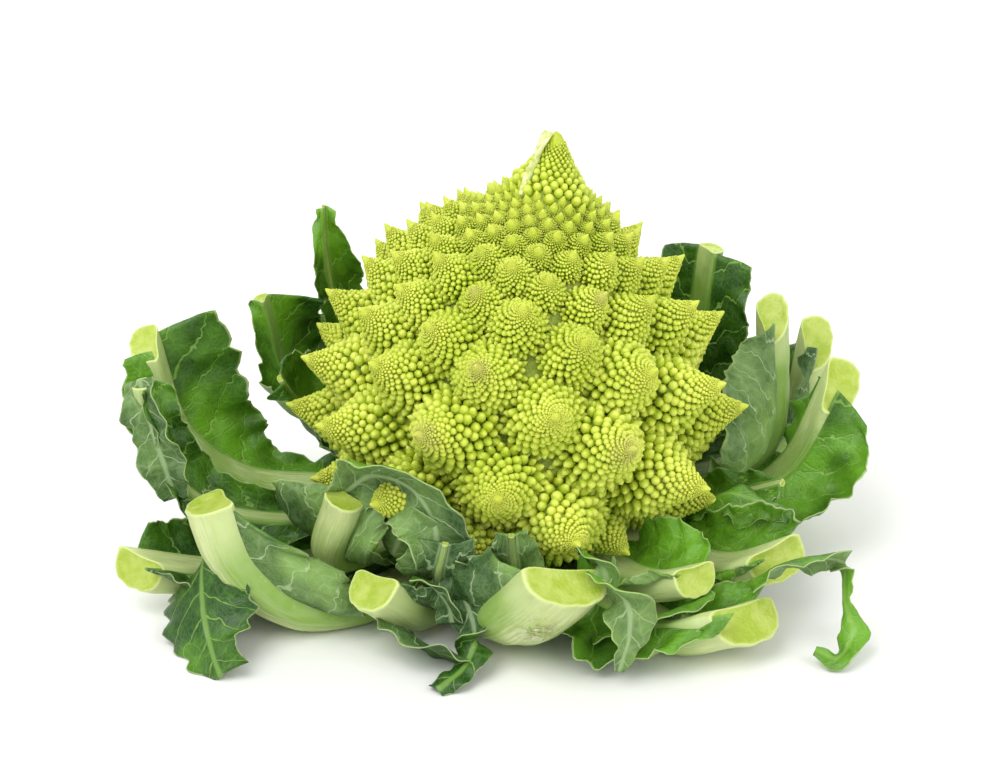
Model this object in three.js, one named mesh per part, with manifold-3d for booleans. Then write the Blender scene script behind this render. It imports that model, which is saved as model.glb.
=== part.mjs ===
// Romanesco head, trimmed for sale: one curd on a cut stalk, inside a ring of trimmed leaves.
// Units are millimetres and +Z is up. The origin is the centre of the stalk's flat cut face,
// on which the head stands. Every leaf is one solid: a thick rib with a blade on each side.

import * as THREE from 'three';
import { LoftGeometry } from 'three/addons/geometries/LoftGeometry.js';
import { mergeVertices } from 'three/addons/utils/BufferGeometryUtils.js';
import Module from 'manifold-3d';

const wasm = await Module();
wasm.setup();

// ---------- driving dimensions ----------

const STALK_RADIUS = 19;
const STALK_FOOT_RADIUS = 17;
const STALK_FOOT_HEIGHT = 3;
const STALK_TAPER = 1;
const STALK_TOP = 34;
const CURD_TOP = 148;
const CURD_LEAN = 11;
const LEAN_STARTS = 96;
const CLEARANCE = 0.35;
const BLADE_THICKNESS = 1.8;
const BLADE_BOW = 0.1;
const BLADE_START = 0.55;
const LEAF_SECTIONS = 6;
const STRIP_SECTIONS = 5;
const STRIP_THICKNESS = 1.6;
const RIB_HOLLOW = 0.1;
const RIB_SHOULDER = 0.6;
const GROUND_DEPTH = 20;
const GROUND_SIZE = 400;
const CURD_SIDES = 24;
const STALK_SIDES = 20;
const WELD_DISTANCE = 1e-4;
const GOLDEN_ANGLE = Math.PI * (3 - Math.sqrt(5));

// The curd under its florets: radius and height, from the rim of the underside up to the apex.
const CURD_PROFILE = [
  [17, STALK_TOP + CLEARANCE],
  [40, 31],
  [51, 33],
  [58, 42],
  [59, 54],
  [55, 69],
  [50, 86],
  [42, 102],
  [33, 115],
  [20, 129],
  [8, 141],
];

// The profile points before the flank: the underside and its rim, where no floret stands.
const POINTS_UNDER_FLANK = 3;
// The slope of the flank is read over this much height to each side.
const SLOPE_REACH = 4;

// Florets sit closer and smaller towards the apex: height, spacing along the surface.
const FLORET_SPACING = [[30, 27], [80, 25], [96, 20], [110, 15], [126, 10]];
const LOWEST_FLORET = 36;
const HIGHEST_FLORET = 124;
const FLORET_SIDES = 7;
const FLORET_ROOT = 0.45;
const FLORET_PACKING = 0.9;
const FLORET_REACH = 0.62;
const FLORET_WIDTH = 0.6;
const FLORET_UPTURN = 0.35;

// ---------- leaves ----------
// rib: middle of the rib's inner face, from the stalk to the cut end.
// width and depth: the rib at the stalk and at the cut. left and right: the edges of its two
// blades, seen from outside with the cut up. strips: loose lobes, each a middle line and widths.

const LEAVES = [
  {
    name: 'leaf_front',
    rib: [[-2, -23, 14], [-3, -44, 13], [-2, -64, 15], [12, -80, 38]],
    width: [22, 29],
    depth: [10, 14],
    left: [[-14, -42, 13], [-16, -64, 16], [-21, -68, 30], [-11, -71, 39]],
    right: [[14, -42, 13], [16, -66, 14], [25, -76, 24], [27, -78, 38]],
    strips: [
      {
        line: [[20, -78, 34], [31, -84, 28], [32, -86, 18], [29, -88, 6]],
        width: [10, 16, 14, 3],
      },
      {
        line: [[17, -72, 39], [24, -77, 36], [26, -78, 27]],
        width: [6, 10, 5],
      },
    ],
  },
  {
    name: 'leaf_front_left',
    rib: [[-17, -17, 13], [-41, -37, 11], [-65, -50, 13], [-83, -54, 28], [-89, -52, 47]],
    width: [16, 20],
    depth: [9, 13],
    left: [[-46, -30, 12], [-72, -42, 15], [-90, -47, 30], [-95, -49, 46]],
    right: [[-36, -46, 8], [-48, -58, 9], [-53, -58, 20], [-76, -54, 34]],
  },
  {
    name: 'leaf_low_left',
    rib: [[-9, -22, 12], [-22, -40, 12], [-34, -55, 14], [-43, -64, 27]],
    width: [14, 18],
    depth: [9, 13],
    left: [[-30, -38, 11], [-43, -50, 12], [-50, -60, 22]],
    right: [[-12, -42, 11], [-22, -62, 10], [-24, -68, 20], [-34, -68, 26]],
    strips: [
      {
        line: [[-38, -62, 11], [-38, -72, 8], [-35, -80, 5], [-29, -84, 3]],
        width: [14, 20, 18, 8],
      },
    ],
  },
  {
    name: 'leaf_low_right',
    rib: [[13, -20, 13], [30, -48, 12], [47, -64, 12], [67, -69, 20]],
    width: [16, 23],
    depth: [9, 14],
    left: [[12, -56, 8], [18, -83, 7], [42, -84, 8], [60, -80, 15]],
    right: [[36, -42, 14], [50, -56, 17], [74, -62, 24]],
    strips: [
      {
        line: [[70, -62, 22], [86, -60, 29], [99, -60, 28], [100, -64, 17], [102, -72, 7], [92, -74, 3]],
        width: [14, 14, 9, 4, 8, 4],
      },
    ],
  },
  {
    name: 'leaf_low_far_left',
    rib: [[-22, -7, 12], [-58, -19, 11], [-92, -33, 14], [-119, -44, 23]],
    width: [10, 13],
    depth: [7, 12],
    left: [[-58, -8, 12], [-94, -16, 15], [-108, -24, 24], [-118, -36, 29]],
    right: [[-54, -34, 9], [-84, -54, 14], [-98, -58, 12], [-114, -52, 19]],
    strips: [
      {
        line: [[-97, -49, 15], [-97, -63, 12], [-96, -76, 6], [-94, -86, 2]],
        width: [20, 20, 15, 8],
      },
    ],
  },
  {
    name: 'leaf_left_tall',
    rib: [[-22, 0, 24], [-62, -3, 28], [-88, -6, 32], [-106, -8, 47], [-115, -8, 80]],
    width: [13, 17],
    depth: [7, 10],
    left: [[-50, 8, 25], [-81, 12, 32], [-88, 10, 52], [-98, 0, 86]],
    right: [[-56, -16, 25], [-98, -18, 34], [-126, -18, 56], [-125, -13, 78]],
  },
  {
    name: 'leaf_back_left',
    rib: [[-17, 14, 25], [-42, 28, 22], [-74, 30, 44], [-84, 26, 81]],
    width: [6, 6],
    depth: [4, 5],
    left: [[-34, 40, 22], [-56, 54, 40], [-68, 48, 58], [-67, 38, 76]],
    right: [[-52, 18, 23], [-80, 22, 40], [-88, 24, 62], [-89, 26, 82]],
  },
  {
    name: 'leaf_right_wide',
    rib: [[23, 3, 12], [58, 8, 12], [90, 14, 26], [106, 20, 55]],
    width: [10, 14],
    depth: [7, 13],
    left: [[56, -10, 10], [92, -14, 19], [116, -5, 32], [110, 12, 49]],
    right: [[58, 24, 13], [90, 28, 26], [100, 30, 50]],
  },
  {
    name: 'leaf_right',
    rib: [[21, -10, 21], [42, -24, 17], [62, -40, 19], [78, -47, 28]],
    width: [12, 18],
    depth: [8, 13],
    left: [[36, -36, 14], [56, -50, 15], [72, -54, 22]],
    right: [[44, -12, 19], [62, -26, 30], [80, -34, 35], [87, -40, 31]],
  },
  {
    name: 'leaf_inner_right',
    rib: [[16, -17, 22], [27, -38, 19], [38, -54, 22], [52, -64, 30]],
    width: [10, 15],
    depth: [7, 11],
    left: [[16, -38, 18], [26, -62, 23], [42, -68, 26]],
    right: [[34, -28, 19], [46, -40, 34], [57, -53, 33]],
  },
  {
    name: 'leaf_inner_left',
    rib: [[-21, -9, 22], [-42, -22, 18], [-58, -37, 21], [-53, -43, 43]],
    width: [10, 13],
    depth: [6, 9],
    left: [[-42, -10, 19], [-66, -22, 24], [-78, -30, 40], [-60, -37, 43]],
    right: [[-34, -36, 18], [-45, -55, 26], [-41, -55, 38], [-44, -46, 48]],
    strips: [
      {
        line: [[-54, -42, 42], [-44, -49, 52], [-33, -54, 50], [-27, -59, 38], [-29, -61, 28]],
        width: [9, 14, 17, 16, 8],
      },
    ],
  },
  {
    name: 'leaf_left_folded',
    rib: [[-22, -8, 31], [-58, -18, 23], [-98, -28, 32], [-111, -32, 50], [-115, -32, 76]],
    width: [7, 9],
    depth: [4, 6],
    left: [[-58, -10, 24], [-96, -20, 40], [-104, -25, 55], [-109, -27, 72]],
    right: [[-58, -27, 21], [-98, -36, 24], [-112, -36, 44], [-119, -33, 74]],
    strips: [
      {
        line: [[-114, -35, 74], [-108, -38, 64], [-104, -39, 52], [-103, -36, 38]],
        width: [8, 15, 14, 6],
      },
    ],
  },
  {
    name: 'leaf_right_tall',
    rib: [[23, 8, 21], [52, 18, 19], [82, 26, 28], [85, 30, 72]],
    width: [9, 12],
    depth: [6, 10],
    left: [[50, 4, 18], [67, 2, 28], [72, 8, 54], [77, 22, 75]],
    right: [[48, 30, 20], [86, 38, 30], [92, 40, 70]],
  },
  {
    name: 'leaf_right_mid',
    rib: [[21, 14, 12], [56, 33, 12], [94, 42, 28], [103, 46, 58]],
    width: [10, 13],
    depth: [7, 11],
    left: [[58, 24, 13], [90, 33, 28], [97, 40, 59]],
    right: [[44, 46, 12], [78, 58, 28], [100, 56, 58]],
  },
  {
    name: 'leaf_back_right',
    rib: [[15, 16, 24], [35, 36, 20], [56, 48, 44], [63, 48, 90]],
    width: [8, 11],
    depth: [5, 7],
    left: [[44, 26, 21], [74, 38, 42], [79, 44, 84]],
    right: [[26, 44, 20], [42, 58, 46], [50, 54, 90]],
  },
  {
    name: 'leaf_pointed',
    rib: [[-11, 18, 31], [-34, 40, 24], [-60, 50, 62], [-65, 44, 88], [-65, 40, 108]],
    width: [6, 2],
    depth: [3, 1],
    left: [[-28, 46, 24], [-50, 58, 60], [-55, 50, 84], [-64, 41, 107]],
    right: [[-44, 34, 24], [-66, 46, 60], [-70, 42, 84], [-67, 39, 107]],
  },
  {
    name: 'leaf_curled',
    rib: [[-19, 8, 31], [-50, 22, 23], [-72, 20, 44], [-78, 8, 60]],
    width: [5, 3],
    depth: [3, 2],
    left: [[-50, 32, 24], [-68, 26, 58], [-76, 10, 70]],
    right: [[-56, 12, 24], [-73, 10, 48], [-79, 4, 54]],
  },
  {
    name: 'leaf_right_folded',
    rib: [[22, -2, 29], [52, -8, 22], [74, -14, 30], [84, -20, 36]],
    width: [5, 3],
    depth: [3, 2],
    left: [[50, -20, 20], [70, -28, 27], [82, -28, 33]],
    right: [[50, 6, 22], [72, -6, 33], [85, -14, 35]],
  },
  {
    name: 'leaf_back',
    rib: [[3, 22, 13], [6, 52, 12], [8, 78, 26], [7, 84, 62]],
    width: [15, 19],
    depth: [9, 12],
    left: [[22, 48, 12], [34, 72, 24], [36, 80, 46], [26, 84, 62]],
    right: [[-10, 50, 12], [-22, 74, 24], [-26, 82, 48], [-14, 84, 66]],
  },
  {
    name: 'leaf_back_far_left',
    rib: [[-14, 18, 12], [-38, 46, 12], [-58, 70, 24], [-60, 76, 56]],
    width: [13, 17],
    depth: [8, 11],
    left: [[-26, 54, 12], [-38, 80, 28], [-46, 82, 58]],
    right: [[-50, 36, 12], [-74, 56, 26], [-72, 66, 58]],
  },
  {
    name: 'leaf_back_far_right',
    rib: [[15, 18, 12], [38, 44, 12], [58, 68, 24], [64, 74, 54]],
    width: [13, 17],
    depth: [8, 11],
    left: [[50, 34, 12], [76, 54, 24], [78, 64, 52]],
    right: [[28, 54, 12], [44, 80, 28], [52, 82, 56]],
  },
  {
    name: 'leaf_inner_back',
    rib: [[-2, 22, 23], [-6, 46, 20], [-12, 66, 38], [-12, 70, 68]],
    width: [8, 9],
    depth: [5, 7],
    left: [[8, 46, 20], [10, 66, 40], [0, 70, 70]],
    right: [[-20, 44, 20], [-34, 60, 40], [-24, 68, 70]],
  },
  {
    name: 'leaf_inner_front',
    rib: [[1, -22, 24], [0, -46, 20], [-2, -64, 28], [-3, -68, 42]],
    width: [4, 2],
    depth: [3, 2],
    left: [[-8, -46, 20], [-11, -64, 30], [-8, -68, 42]],
    right: [[8, -46, 20], [7, -64, 30], [2, -68, 43]],
  },
  {
    name: 'leaf_twisted',
    rib: [[-8, -21, 24], [-16, -44, 19], [-25, -62, 24], [-22, -66, 36]],
    width: [5, 3],
    depth: [3, 2],
    left: [[-26, -44, 18], [-34, -60, 26], [-29, -64, 36]],
    right: [[-10, -46, 19], [-17, -64, 22], [-16, -67, 38]],
    strips: [
      {
        line: [[-20, -64, 24], [-17, -74, 15], [-18, -84, 6], [-25, -93, 2]],
        width: [12, 10, 7, 6],
      },
    ],
  },
];

// ---------- solids ----------

// Turns a closed geometry into a solid, joining its corners and dropping collapsed triangles.
function solidOf(geometry) {
  const bare = new THREE.BufferGeometry();
  bare.setAttribute('position', geometry.attributes.position);
  bare.setIndex(geometry.index);
  const merged = mergeVertices(bare, WELD_DISTANCE);
  const corners = Array.from(merged.index.array);
  const kept = [];
  for (let i = 0; i < corners.length; i += 3) {
    const [a, b, c] = corners.slice(i, i + 3);
    if (a !== b && b !== c && c !== a) kept.push(a, b, c);
  }
  const vertProperties = Float32Array.from(merged.attributes.position.array);
  const triVerts = Uint32Array.from(kept);
  return new wasm.Manifold(new wasm.Mesh({ numProp: 3, vertProperties, triVerts }));
}

function geometryOf(solid) {
  const { vertProperties, triVerts } = solid.getMesh();
  const geometry = new THREE.BufferGeometry();
  geometry.setAttribute('position', new THREE.BufferAttribute(vertProperties, 3));
  geometry.setIndex(new THREE.BufferAttribute(triVerts, 1));
  return geometry;
}

// The largest of the bodies that a cut leaves.
function largestBody(solid) {
  const bodies = solid.decompose();
  return bodies.reduce((best, body) => (body.volume() > best.volume() ? body : best));
}

function vectors(points) {
  return points.map(([x, y, z]) => new THREE.Vector3(x, y, z));
}

// Reads a list of [at, value] pairs as straight lines between them.
function between(pairs, at) {
  if (at <= pairs[0][0]) return pairs[0][1];
  for (let i = 1; i < pairs.length; i++) {
    const [from, low] = pairs[i - 1];
    const [to, high] = pairs[i];
    if (at <= to) return low + (high - low) * (at - from) / (to - from);
  }
  return pairs[pairs.length - 1][1];
}

// ---------- curd ----------

// The curd without its florets: the profile turned round the axis.
function curdCore(grow) {
  const rings = CURD_PROFILE.map(([radius, height]) => new THREE.Vector2(radius + grow, height));
  const foot = new THREE.Vector2(0, CURD_PROFILE[0][1] - grow);
  rings[0].y -= grow;
  const apex = new THREE.Vector2(0, CURD_TOP + grow);
  const core = new THREE.LatheGeometry([foot, ...rings, apex], CURD_SIDES);
  core.rotateX(Math.PI / 2);
  return core;
}

// One floret: a pointed cone standing on the core, its tip turned a little upwards.
function floret(radius, height, angle, normal, spacing, grow) {
  const outward = new THREE.Vector3(Math.cos(angle) * normal.x, Math.sin(angle) * normal.x, normal.y);
  outward.z += FLORET_UPTURN;
  outward.normalize();
  const sunk = spacing * FLORET_ROOT;
  const length = spacing * FLORET_REACH + sunk + grow;
  const cone = new THREE.ConeGeometry(spacing * FLORET_WIDTH + grow, length, FLORET_SIDES);
  cone.translate(0, length / 2 - sunk, 0);
  cone.applyQuaternion(new THREE.Quaternion().setFromUnitVectors(new THREE.Vector3(0, 1, 0), outward));
  cone.translate(radius * Math.cos(angle), radius * Math.sin(angle), height);
  return cone;
}

// Places the florets down the profile, each a golden angle on from the last. The step down is the
// area of one floret, its spacing squared, spread round the curd at that height.
function curdSolid(grow) {
  let solid = solidOf(curdCore(grow));
  const radiusAt = CURD_PROFILE.slice(POINTS_UNDER_FLANK).map(([radius, height]) => [height, radius]);
  let height = HIGHEST_FLORET;
  for (let i = 0; height > LOWEST_FLORET; i++) {
    const spacing = between(FLORET_SPACING, height);
    const radius = between(radiusAt, height);
    const slope = between(radiusAt, height + SLOPE_REACH) - between(radiusAt, height - SLOPE_REACH);
    const normal = new THREE.Vector2(2 * SLOPE_REACH, -slope).normalize();
    solid = solid.add(solidOf(floret(radius, height, i * GOLDEN_ANGLE, normal, spacing, grow)));
    height -= FLORET_PACKING * spacing * spacing / (2 * Math.PI * radius) * normal.x;
  }
  return solid;
}

// Leans the top of the curd sideways, more towards the apex.
function leanTop(geometry) {
  const position = geometry.attributes.position;
  for (let i = 0; i < position.count; i++) {
    const rise = THREE.MathUtils.smoothstep(position.getZ(i), LEAN_STARTS, CURD_TOP);
    position.setX(i, position.getX(i) + CURD_LEAN * rise);
  }
  return geometry;
}

// ---------- stalk ----------

function stalkSolid(grow) {
  const profile = [
    new THREE.Vector2(0, 0),
    new THREE.Vector2(STALK_FOOT_RADIUS + grow, 0),
    new THREE.Vector2(STALK_RADIUS + grow, STALK_FOOT_HEIGHT),
    new THREE.Vector2(STALK_RADIUS - STALK_TAPER + grow, STALK_TOP),
    new THREE.Vector2(0, STALK_TOP),
  ];
  const stalk = new THREE.LatheGeometry(profile, STALK_SIDES);
  stalk.rotateX(Math.PI / 2);
  return solidOf(stalk);
}

// ---------- leaves ----------

// The rib's frame: along it, outwards across it (down at the stalk, away from the axis above),
// and to the right as seen from outside.
function ribFrame(curve, along) {
  const centre = curve.getPoint(along);
  const tangent = curve.getTangent(along);
  const outward = new THREE.Vector3(centre.x, centre.y, 0).normalize();
  outward.z = -1;
  outward.addScaledVector(tangent, -outward.dot(tangent)).normalize();
  const right = new THREE.Vector3().crossVectors(tangent, outward);
  return { centre, tangent, outward, right };
}

// One blade in section: its edge, middle and rib side on the inner face, then how far out of it
// the outer face lies. The middle is bowed outwards by a share of the blade's width.
function bladeSection(frame, side, halfWidth, edge, grow) {
  const root = frame.centre.clone().addScaledVector(frame.right, side * halfWidth);
  const across = edge.clone().sub(root);
  const width = Math.max(across.length(), 1);
  across.normalize();
  const normal = new THREE.Vector3().crossVectors(across, frame.tangent).multiplyScalar(side).normalize();
  const rim = root.clone().addScaledVector(across, width + grow);
  const middle = root.clone().addScaledVector(across, width / 2)
    .addScaledVector(normal, width * BLADE_BOW);
  return { rim, middle, root, normal };
}

// A section through rib and blades: seven points across the inner face and the same seven across
// the outer face, where the rib stands out by its depth.
function leafSection(frame, halfWidth, depth, leftEdge, rightEdge, grow) {
  const left = bladeSection(frame, -1, halfWidth, leftEdge, grow);
  const right = bladeSection(frame, 1, halfWidth, rightEdge, grow);
  const hollow = frame.centre.clone().addScaledVector(frame.outward, depth * RIB_HOLLOW);
  const stations = [
    [left.rim, left.normal, BLADE_THICKNESS],
    [left.middle, left.normal, BLADE_THICKNESS],
    [left.root, frame.outward, depth * RIB_SHOULDER],
    [hollow, frame.outward, depth * (1 - RIB_HOLLOW)],
    [right.root, frame.outward, depth * RIB_SHOULDER],
    [right.middle, right.normal, BLADE_THICKNESS],
    [right.rim, right.normal, BLADE_THICKNESS],
  ];
  const inner = stations.map(([point, out]) => point.clone().addScaledVector(out, -grow));
  const outer = stations.map(([point, out, thick]) => point.clone().addScaledVector(out, thick + grow));
  return { inner, outer };
}

// Closes a row of sections: the first and the last are drawn together, as a flat end.
function loftSections(sections) {
  const rings = sections.map(({ inner, outer }) => [...outer, ...inner.slice().reverse()]);
  const zip = ({ inner, outer }) => {
    const middle = inner.map((point, i) => point.clone().lerp(outer[i], 0.5));
    return [...middle, ...middle.slice().reverse()];
  };
  const first = zip(sections[0]);
  const last = zip(sections[sections.length - 1]);
  return new LoftGeometry([first, ...rings, last], { closed: true });
}

// A loose lobe: a thin strip along a line, its width across set level with the ground where it can.
function stripSolid({ line, width }, grow) {
  const curve = new THREE.CatmullRomCurve3(vectors(line));
  const sections = [];
  for (let i = 0; i <= STRIP_SECTIONS; i++) {
    const along = i / STRIP_SECTIONS;
    const frame = ribFrame(curve, along);
    const place = along * (width.length - 1);
    const half = between(width.map((value, k) => [k, value]), place) / 2 + grow;
    const inner = [-1, 0, 1].map((side) => frame.centre.clone()
      .addScaledVector(frame.right, side * half)
      .addScaledVector(frame.outward, -grow));
    const outer = inner.map((point) => point.clone()
      .addScaledVector(frame.outward, STRIP_THICKNESS + 2 * grow));
    sections.push({ inner, outer });
  }
  return solidOf(loftSections(sections));
}

function leafSolid(leaf, grow) {
  const rib = new THREE.CatmullRomCurve3(vectors(leaf.rib));
  const base = ribFrame(rib, 0);
  const edgeCurve = (points, side) => {
    const start = base.centre.clone().addScaledVector(base.right, side * leaf.width[0] * BLADE_START);
    return new THREE.CatmullRomCurve3([start, ...vectors(points)]);
  };
  const leftCurve = edgeCurve(leaf.left, -1);
  const rightCurve = edgeCurve(leaf.right, 1);
  const sections = [];
  for (let i = 0; i <= LEAF_SECTIONS; i++) {
    const along = i / LEAF_SECTIONS;
    const halfWidth = THREE.MathUtils.lerp(leaf.width[0], leaf.width[1], along) / 2;
    const depth = THREE.MathUtils.lerp(leaf.depth[0], leaf.depth[1], along);
    const frame = ribFrame(rib, along);
    sections.push(leafSection(
      frame, halfWidth, depth, leftCurve.getPoint(along), rightCurve.getPoint(along), grow,
    ));
  }
  let solid = solidOf(loftSections(sections));
  for (const strip of leaf.strips ?? []) {
    solid = solid.add(stripSolid(strip, grow));
  }
  return solid;
}

// ---------- the head ----------

const GREEN_CURD = { color: 0xb9c832, roughness: 0.55, metalness: 0 };
const PALE_STALK = { color: 0xd9e3a8, roughness: 0.5, metalness: 0 };
const GREEN_LEAF = { color: 0x3f7a2c, roughness: 0.45, metalness: 0 };

function meshOf(name, geometry, finish) {
  const mesh = new THREE.Mesh(geometry, new THREE.MeshStandardMaterial(finish));
  mesh.name = name;
  return mesh;
}

// The ground that the head stands on, so that no leaf reaches below the stalk's cut face.
function groundSolid() {
  const ground = new THREE.BoxGeometry(GROUND_SIZE, GROUND_SIZE, GROUND_DEPTH);
  ground.translate(0, 0, -GROUND_DEPTH / 2);
  return solidOf(ground);
}

// Leaves are fitted in turn, each cut back by a little clearance from what already stands there.
function buildHead() {
  const head = new THREE.Group();
  head.add(meshOf('curd', leanTop(geometryOf(curdSolid(0))), GREEN_CURD));
  head.add(meshOf('stalk', geometryOf(stalkSolid(0)), PALE_STALK));
  const leaves = new THREE.Group();
  const taken = [groundSolid(), curdSolid(CLEARANCE), stalkSolid(CLEARANCE)];
  for (const leaf of LEAVES) {
    const whole = leafSolid(leaf, 0);
    const fitted = largestBody(taken.reduce((rest, other) => rest.subtract(other), whole));
    leaves.add(meshOf(leaf.name, geometryOf(fitted), GREEN_LEAF));
    taken.push(whole, leafSolid(leaf, CLEARANCE));
  }
  head.add(leaves);
  return head;
}

export default buildHead();
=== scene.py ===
"""A romanesco head, trimmed for sale: a curd of spiralling florets on a cut stalk, in a ring of
leaves cut across their ribs. The tables and the surfaces are worked out in millimetres, and every
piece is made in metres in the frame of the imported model."""

import math

import bpy
import numpy as np
from bpy.props import FloatProperty, FloatVectorProperty, IntProperty, PointerProperty
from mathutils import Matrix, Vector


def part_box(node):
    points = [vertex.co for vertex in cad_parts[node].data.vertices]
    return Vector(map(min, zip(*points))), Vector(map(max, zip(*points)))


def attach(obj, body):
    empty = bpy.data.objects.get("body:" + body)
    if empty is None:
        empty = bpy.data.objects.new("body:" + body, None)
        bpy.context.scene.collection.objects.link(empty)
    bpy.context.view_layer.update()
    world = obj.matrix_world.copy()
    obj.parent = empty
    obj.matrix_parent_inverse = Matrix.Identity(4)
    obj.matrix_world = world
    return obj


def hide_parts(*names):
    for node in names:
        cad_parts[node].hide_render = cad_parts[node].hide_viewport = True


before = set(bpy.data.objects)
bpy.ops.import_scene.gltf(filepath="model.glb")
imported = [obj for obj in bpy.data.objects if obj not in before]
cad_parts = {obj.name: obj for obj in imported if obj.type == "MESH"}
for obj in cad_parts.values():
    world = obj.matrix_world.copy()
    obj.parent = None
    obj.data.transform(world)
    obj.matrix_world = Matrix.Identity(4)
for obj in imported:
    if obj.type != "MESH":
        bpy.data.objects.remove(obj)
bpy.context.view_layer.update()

bl_info = {
    "name": "Romanesco head",
    "version": (1, 0, 0),
    "blender": (4, 5, 0),
    "location": "View3D > Sidebar > Romanesco",
    "description": "Builds a romanesco head with its florets, stalk and trimmed leaves",
    "category": "Add Mesh",
}

MM = 0.001
GOLDEN_ANGLE = math.pi * (3 - math.sqrt(5))

# ---------------------------------------------------------------- the curd's sizes, millimetres

# The body under the florets: radius and height from the apex down, and in under the rim.
BODY_PROFILE = [
    (0, 147.4), (1.8, 145.8), (4.2, 140.5), (7.5, 134), (14, 125.5), (25, 114), (35, 101), (43, 86), (49, 69),
    (52, 54), (51, 42), (45, 33), (36, 30), (17, 33.5), (0, 34),
]
BODY_STEPS = 1200  # points along the profile
BODY_UNREST = 0.02  # of its radius
FIRST_FLORET, LAST_FLORET = 5.0, 166  # distances from the apex
LEAN_FROM, LEAN_TO = 96, 148  # heights between which the body leans more and more
# Spacing of the florets along the profile: distance from the apex, spacing.
FLORET_SPACING = [
    (0, 0.35), (4, 0.75), (8, 1.15), (12, 1.8), (17, 2.6), (22, 3.3), (29, 4.5), (35, 6.2), (42, 9),
    (49, 11.5), (58, 14.2), (72, 18.5), (86, 22), (104, 25), (122, 26), (148, 23.5), (168, 19),
]
# How steeply the florets point up: distance from the apex, degrees above level.
FLORET_TILT = [(0, 88), (10, 62), (30, 50), (50, 42), (68, 33), (90, 17), (112, 6), (127, -4),
               (142, -18), (162, -42)]
PACKING = 0.87  # area of one floret as a share of its spacing squared
SIZE_UNREST = (0.93, 1.08)  # range of a floret's size against its spacing
AXIS_UNREST, FOOT_UNREST = 0.06, 0.035  # spread of the axes, and of the feet in spacings
APEX_CROWDING = 0.14  # how much closer the florets stand on the right of the apex than in front
FLORET_STEPS = 400  # points along a floret's profile
FLORET_BEND = 0.14  # how far a floret bends upwards, as a share of its height squared
# One floret of spacing 1: radius and height from its tip to under its skirt.
FLORET_PROFILE = [
    (0, 1.0), (0.02, 0.985), (0.062, 0.9), (0.14, 0.73), (0.25, 0.52), (0.37, 0.3), (0.475, 0.08),
    (0.51, -0.12), (0.46, -0.36),
]
# The same for the small round florets under the apex.
ROUND_PROFILE = [
    (0, 0.9), (0.035, 0.885), (0.1, 0.78), (0.2, 0.58), (0.33, 0.34), (0.44, 0.11), (0.49, -0.1),
    (0.45, -0.3),
]
ROUND_UNTIL, POINTED_FROM = 7.0, 11.0  # spacings between which florets change from round to pointed
SMALLEST_FLORET = 3.4  # below this spacing a floret is one bud
CONE_GRADES = [(True, 10, 6), (False, 26, 15)]  # spacing below CONE_COARSE or not, sides, rings
CONE_COARSE = 9
CONE_SHARE = 0.97  # of the profile's radius, so that the buds stand out of the cone
GRAIN_ARMS, GRAIN_TWIST, GRAIN_DEPTH = 13, 9, 0.06  # spiral grain of the large cones
SMALLEST_BUD = 0.5
BUD_GROWTH = 0.17  # spacing of the buds as a share of their distance from the floret's tip
LARGEST_BUD = 0.131  # as a share of the floret's spacing
LOWEST_BUD = 0.86  # how far down the profile buds stand, as a share of its length
BUD_ROUND = [(0.36, -0.4), (0.56, -0.05), (0.53, 0.26), (0.36, 0.5)]
BUD_ROUND_TIP = 0.6
BUD_POINTED = [(0.36, -0.4), (0.55, -0.05), (0.46, 0.42), (0.23, 0.95)]
BUD_POINTED_TIP = 1.28
BUD_GRADES = [(0, 0.85, 5, 2), (0.85, 1.5, 6, 3), (1.5, 3.0, 7, 4), (3.0, 99, 8, 4)]  # from, to, sides, rings
# The torn strip on the apex: height and degrees round the stalk, and its width at each.
SCAR_PATH = [(147, 190), (143.5, 205), (139, 216), (134, 224), (129.5, 230)]
SCAR_WIDTH = (3.6, 6.4, 7.6, 5.6, 2.0)
SCAR_LOOK = dict(twist=(20, 10, 0, -10), ruffle=0.5, cup=-0.25)
SCAR_THICKNESS, SCAR_OVER_BODY = 1.3, 1.5
# Places of the florets whose tips are stained.
STAINS = [(-22, -41, 113), (-9, -46, 114), (-20, -61, 86), (-23, -68, 57), (34, -40, 107), (34, -57, 69)]
STAIN, STAINED_FROM = 0.5, 8  # strength, and the least spacing of a stained floret
TIP_HEIGHT = 0.8  # of a floret's tip over its foot, in spacings
# Triangles of a floret, about: a number, and a number for each millimetre of spacing over a limit.
FLORET_TRIANGLES, TRIANGLES_GROWTH, GROWTH_FROM = 1100, 440, 4
TIER_TRIANGLES = 92000  # by that count, where a tier of florets ends

# ---------------------------------------------------------------- the leaves, millimetres

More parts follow.
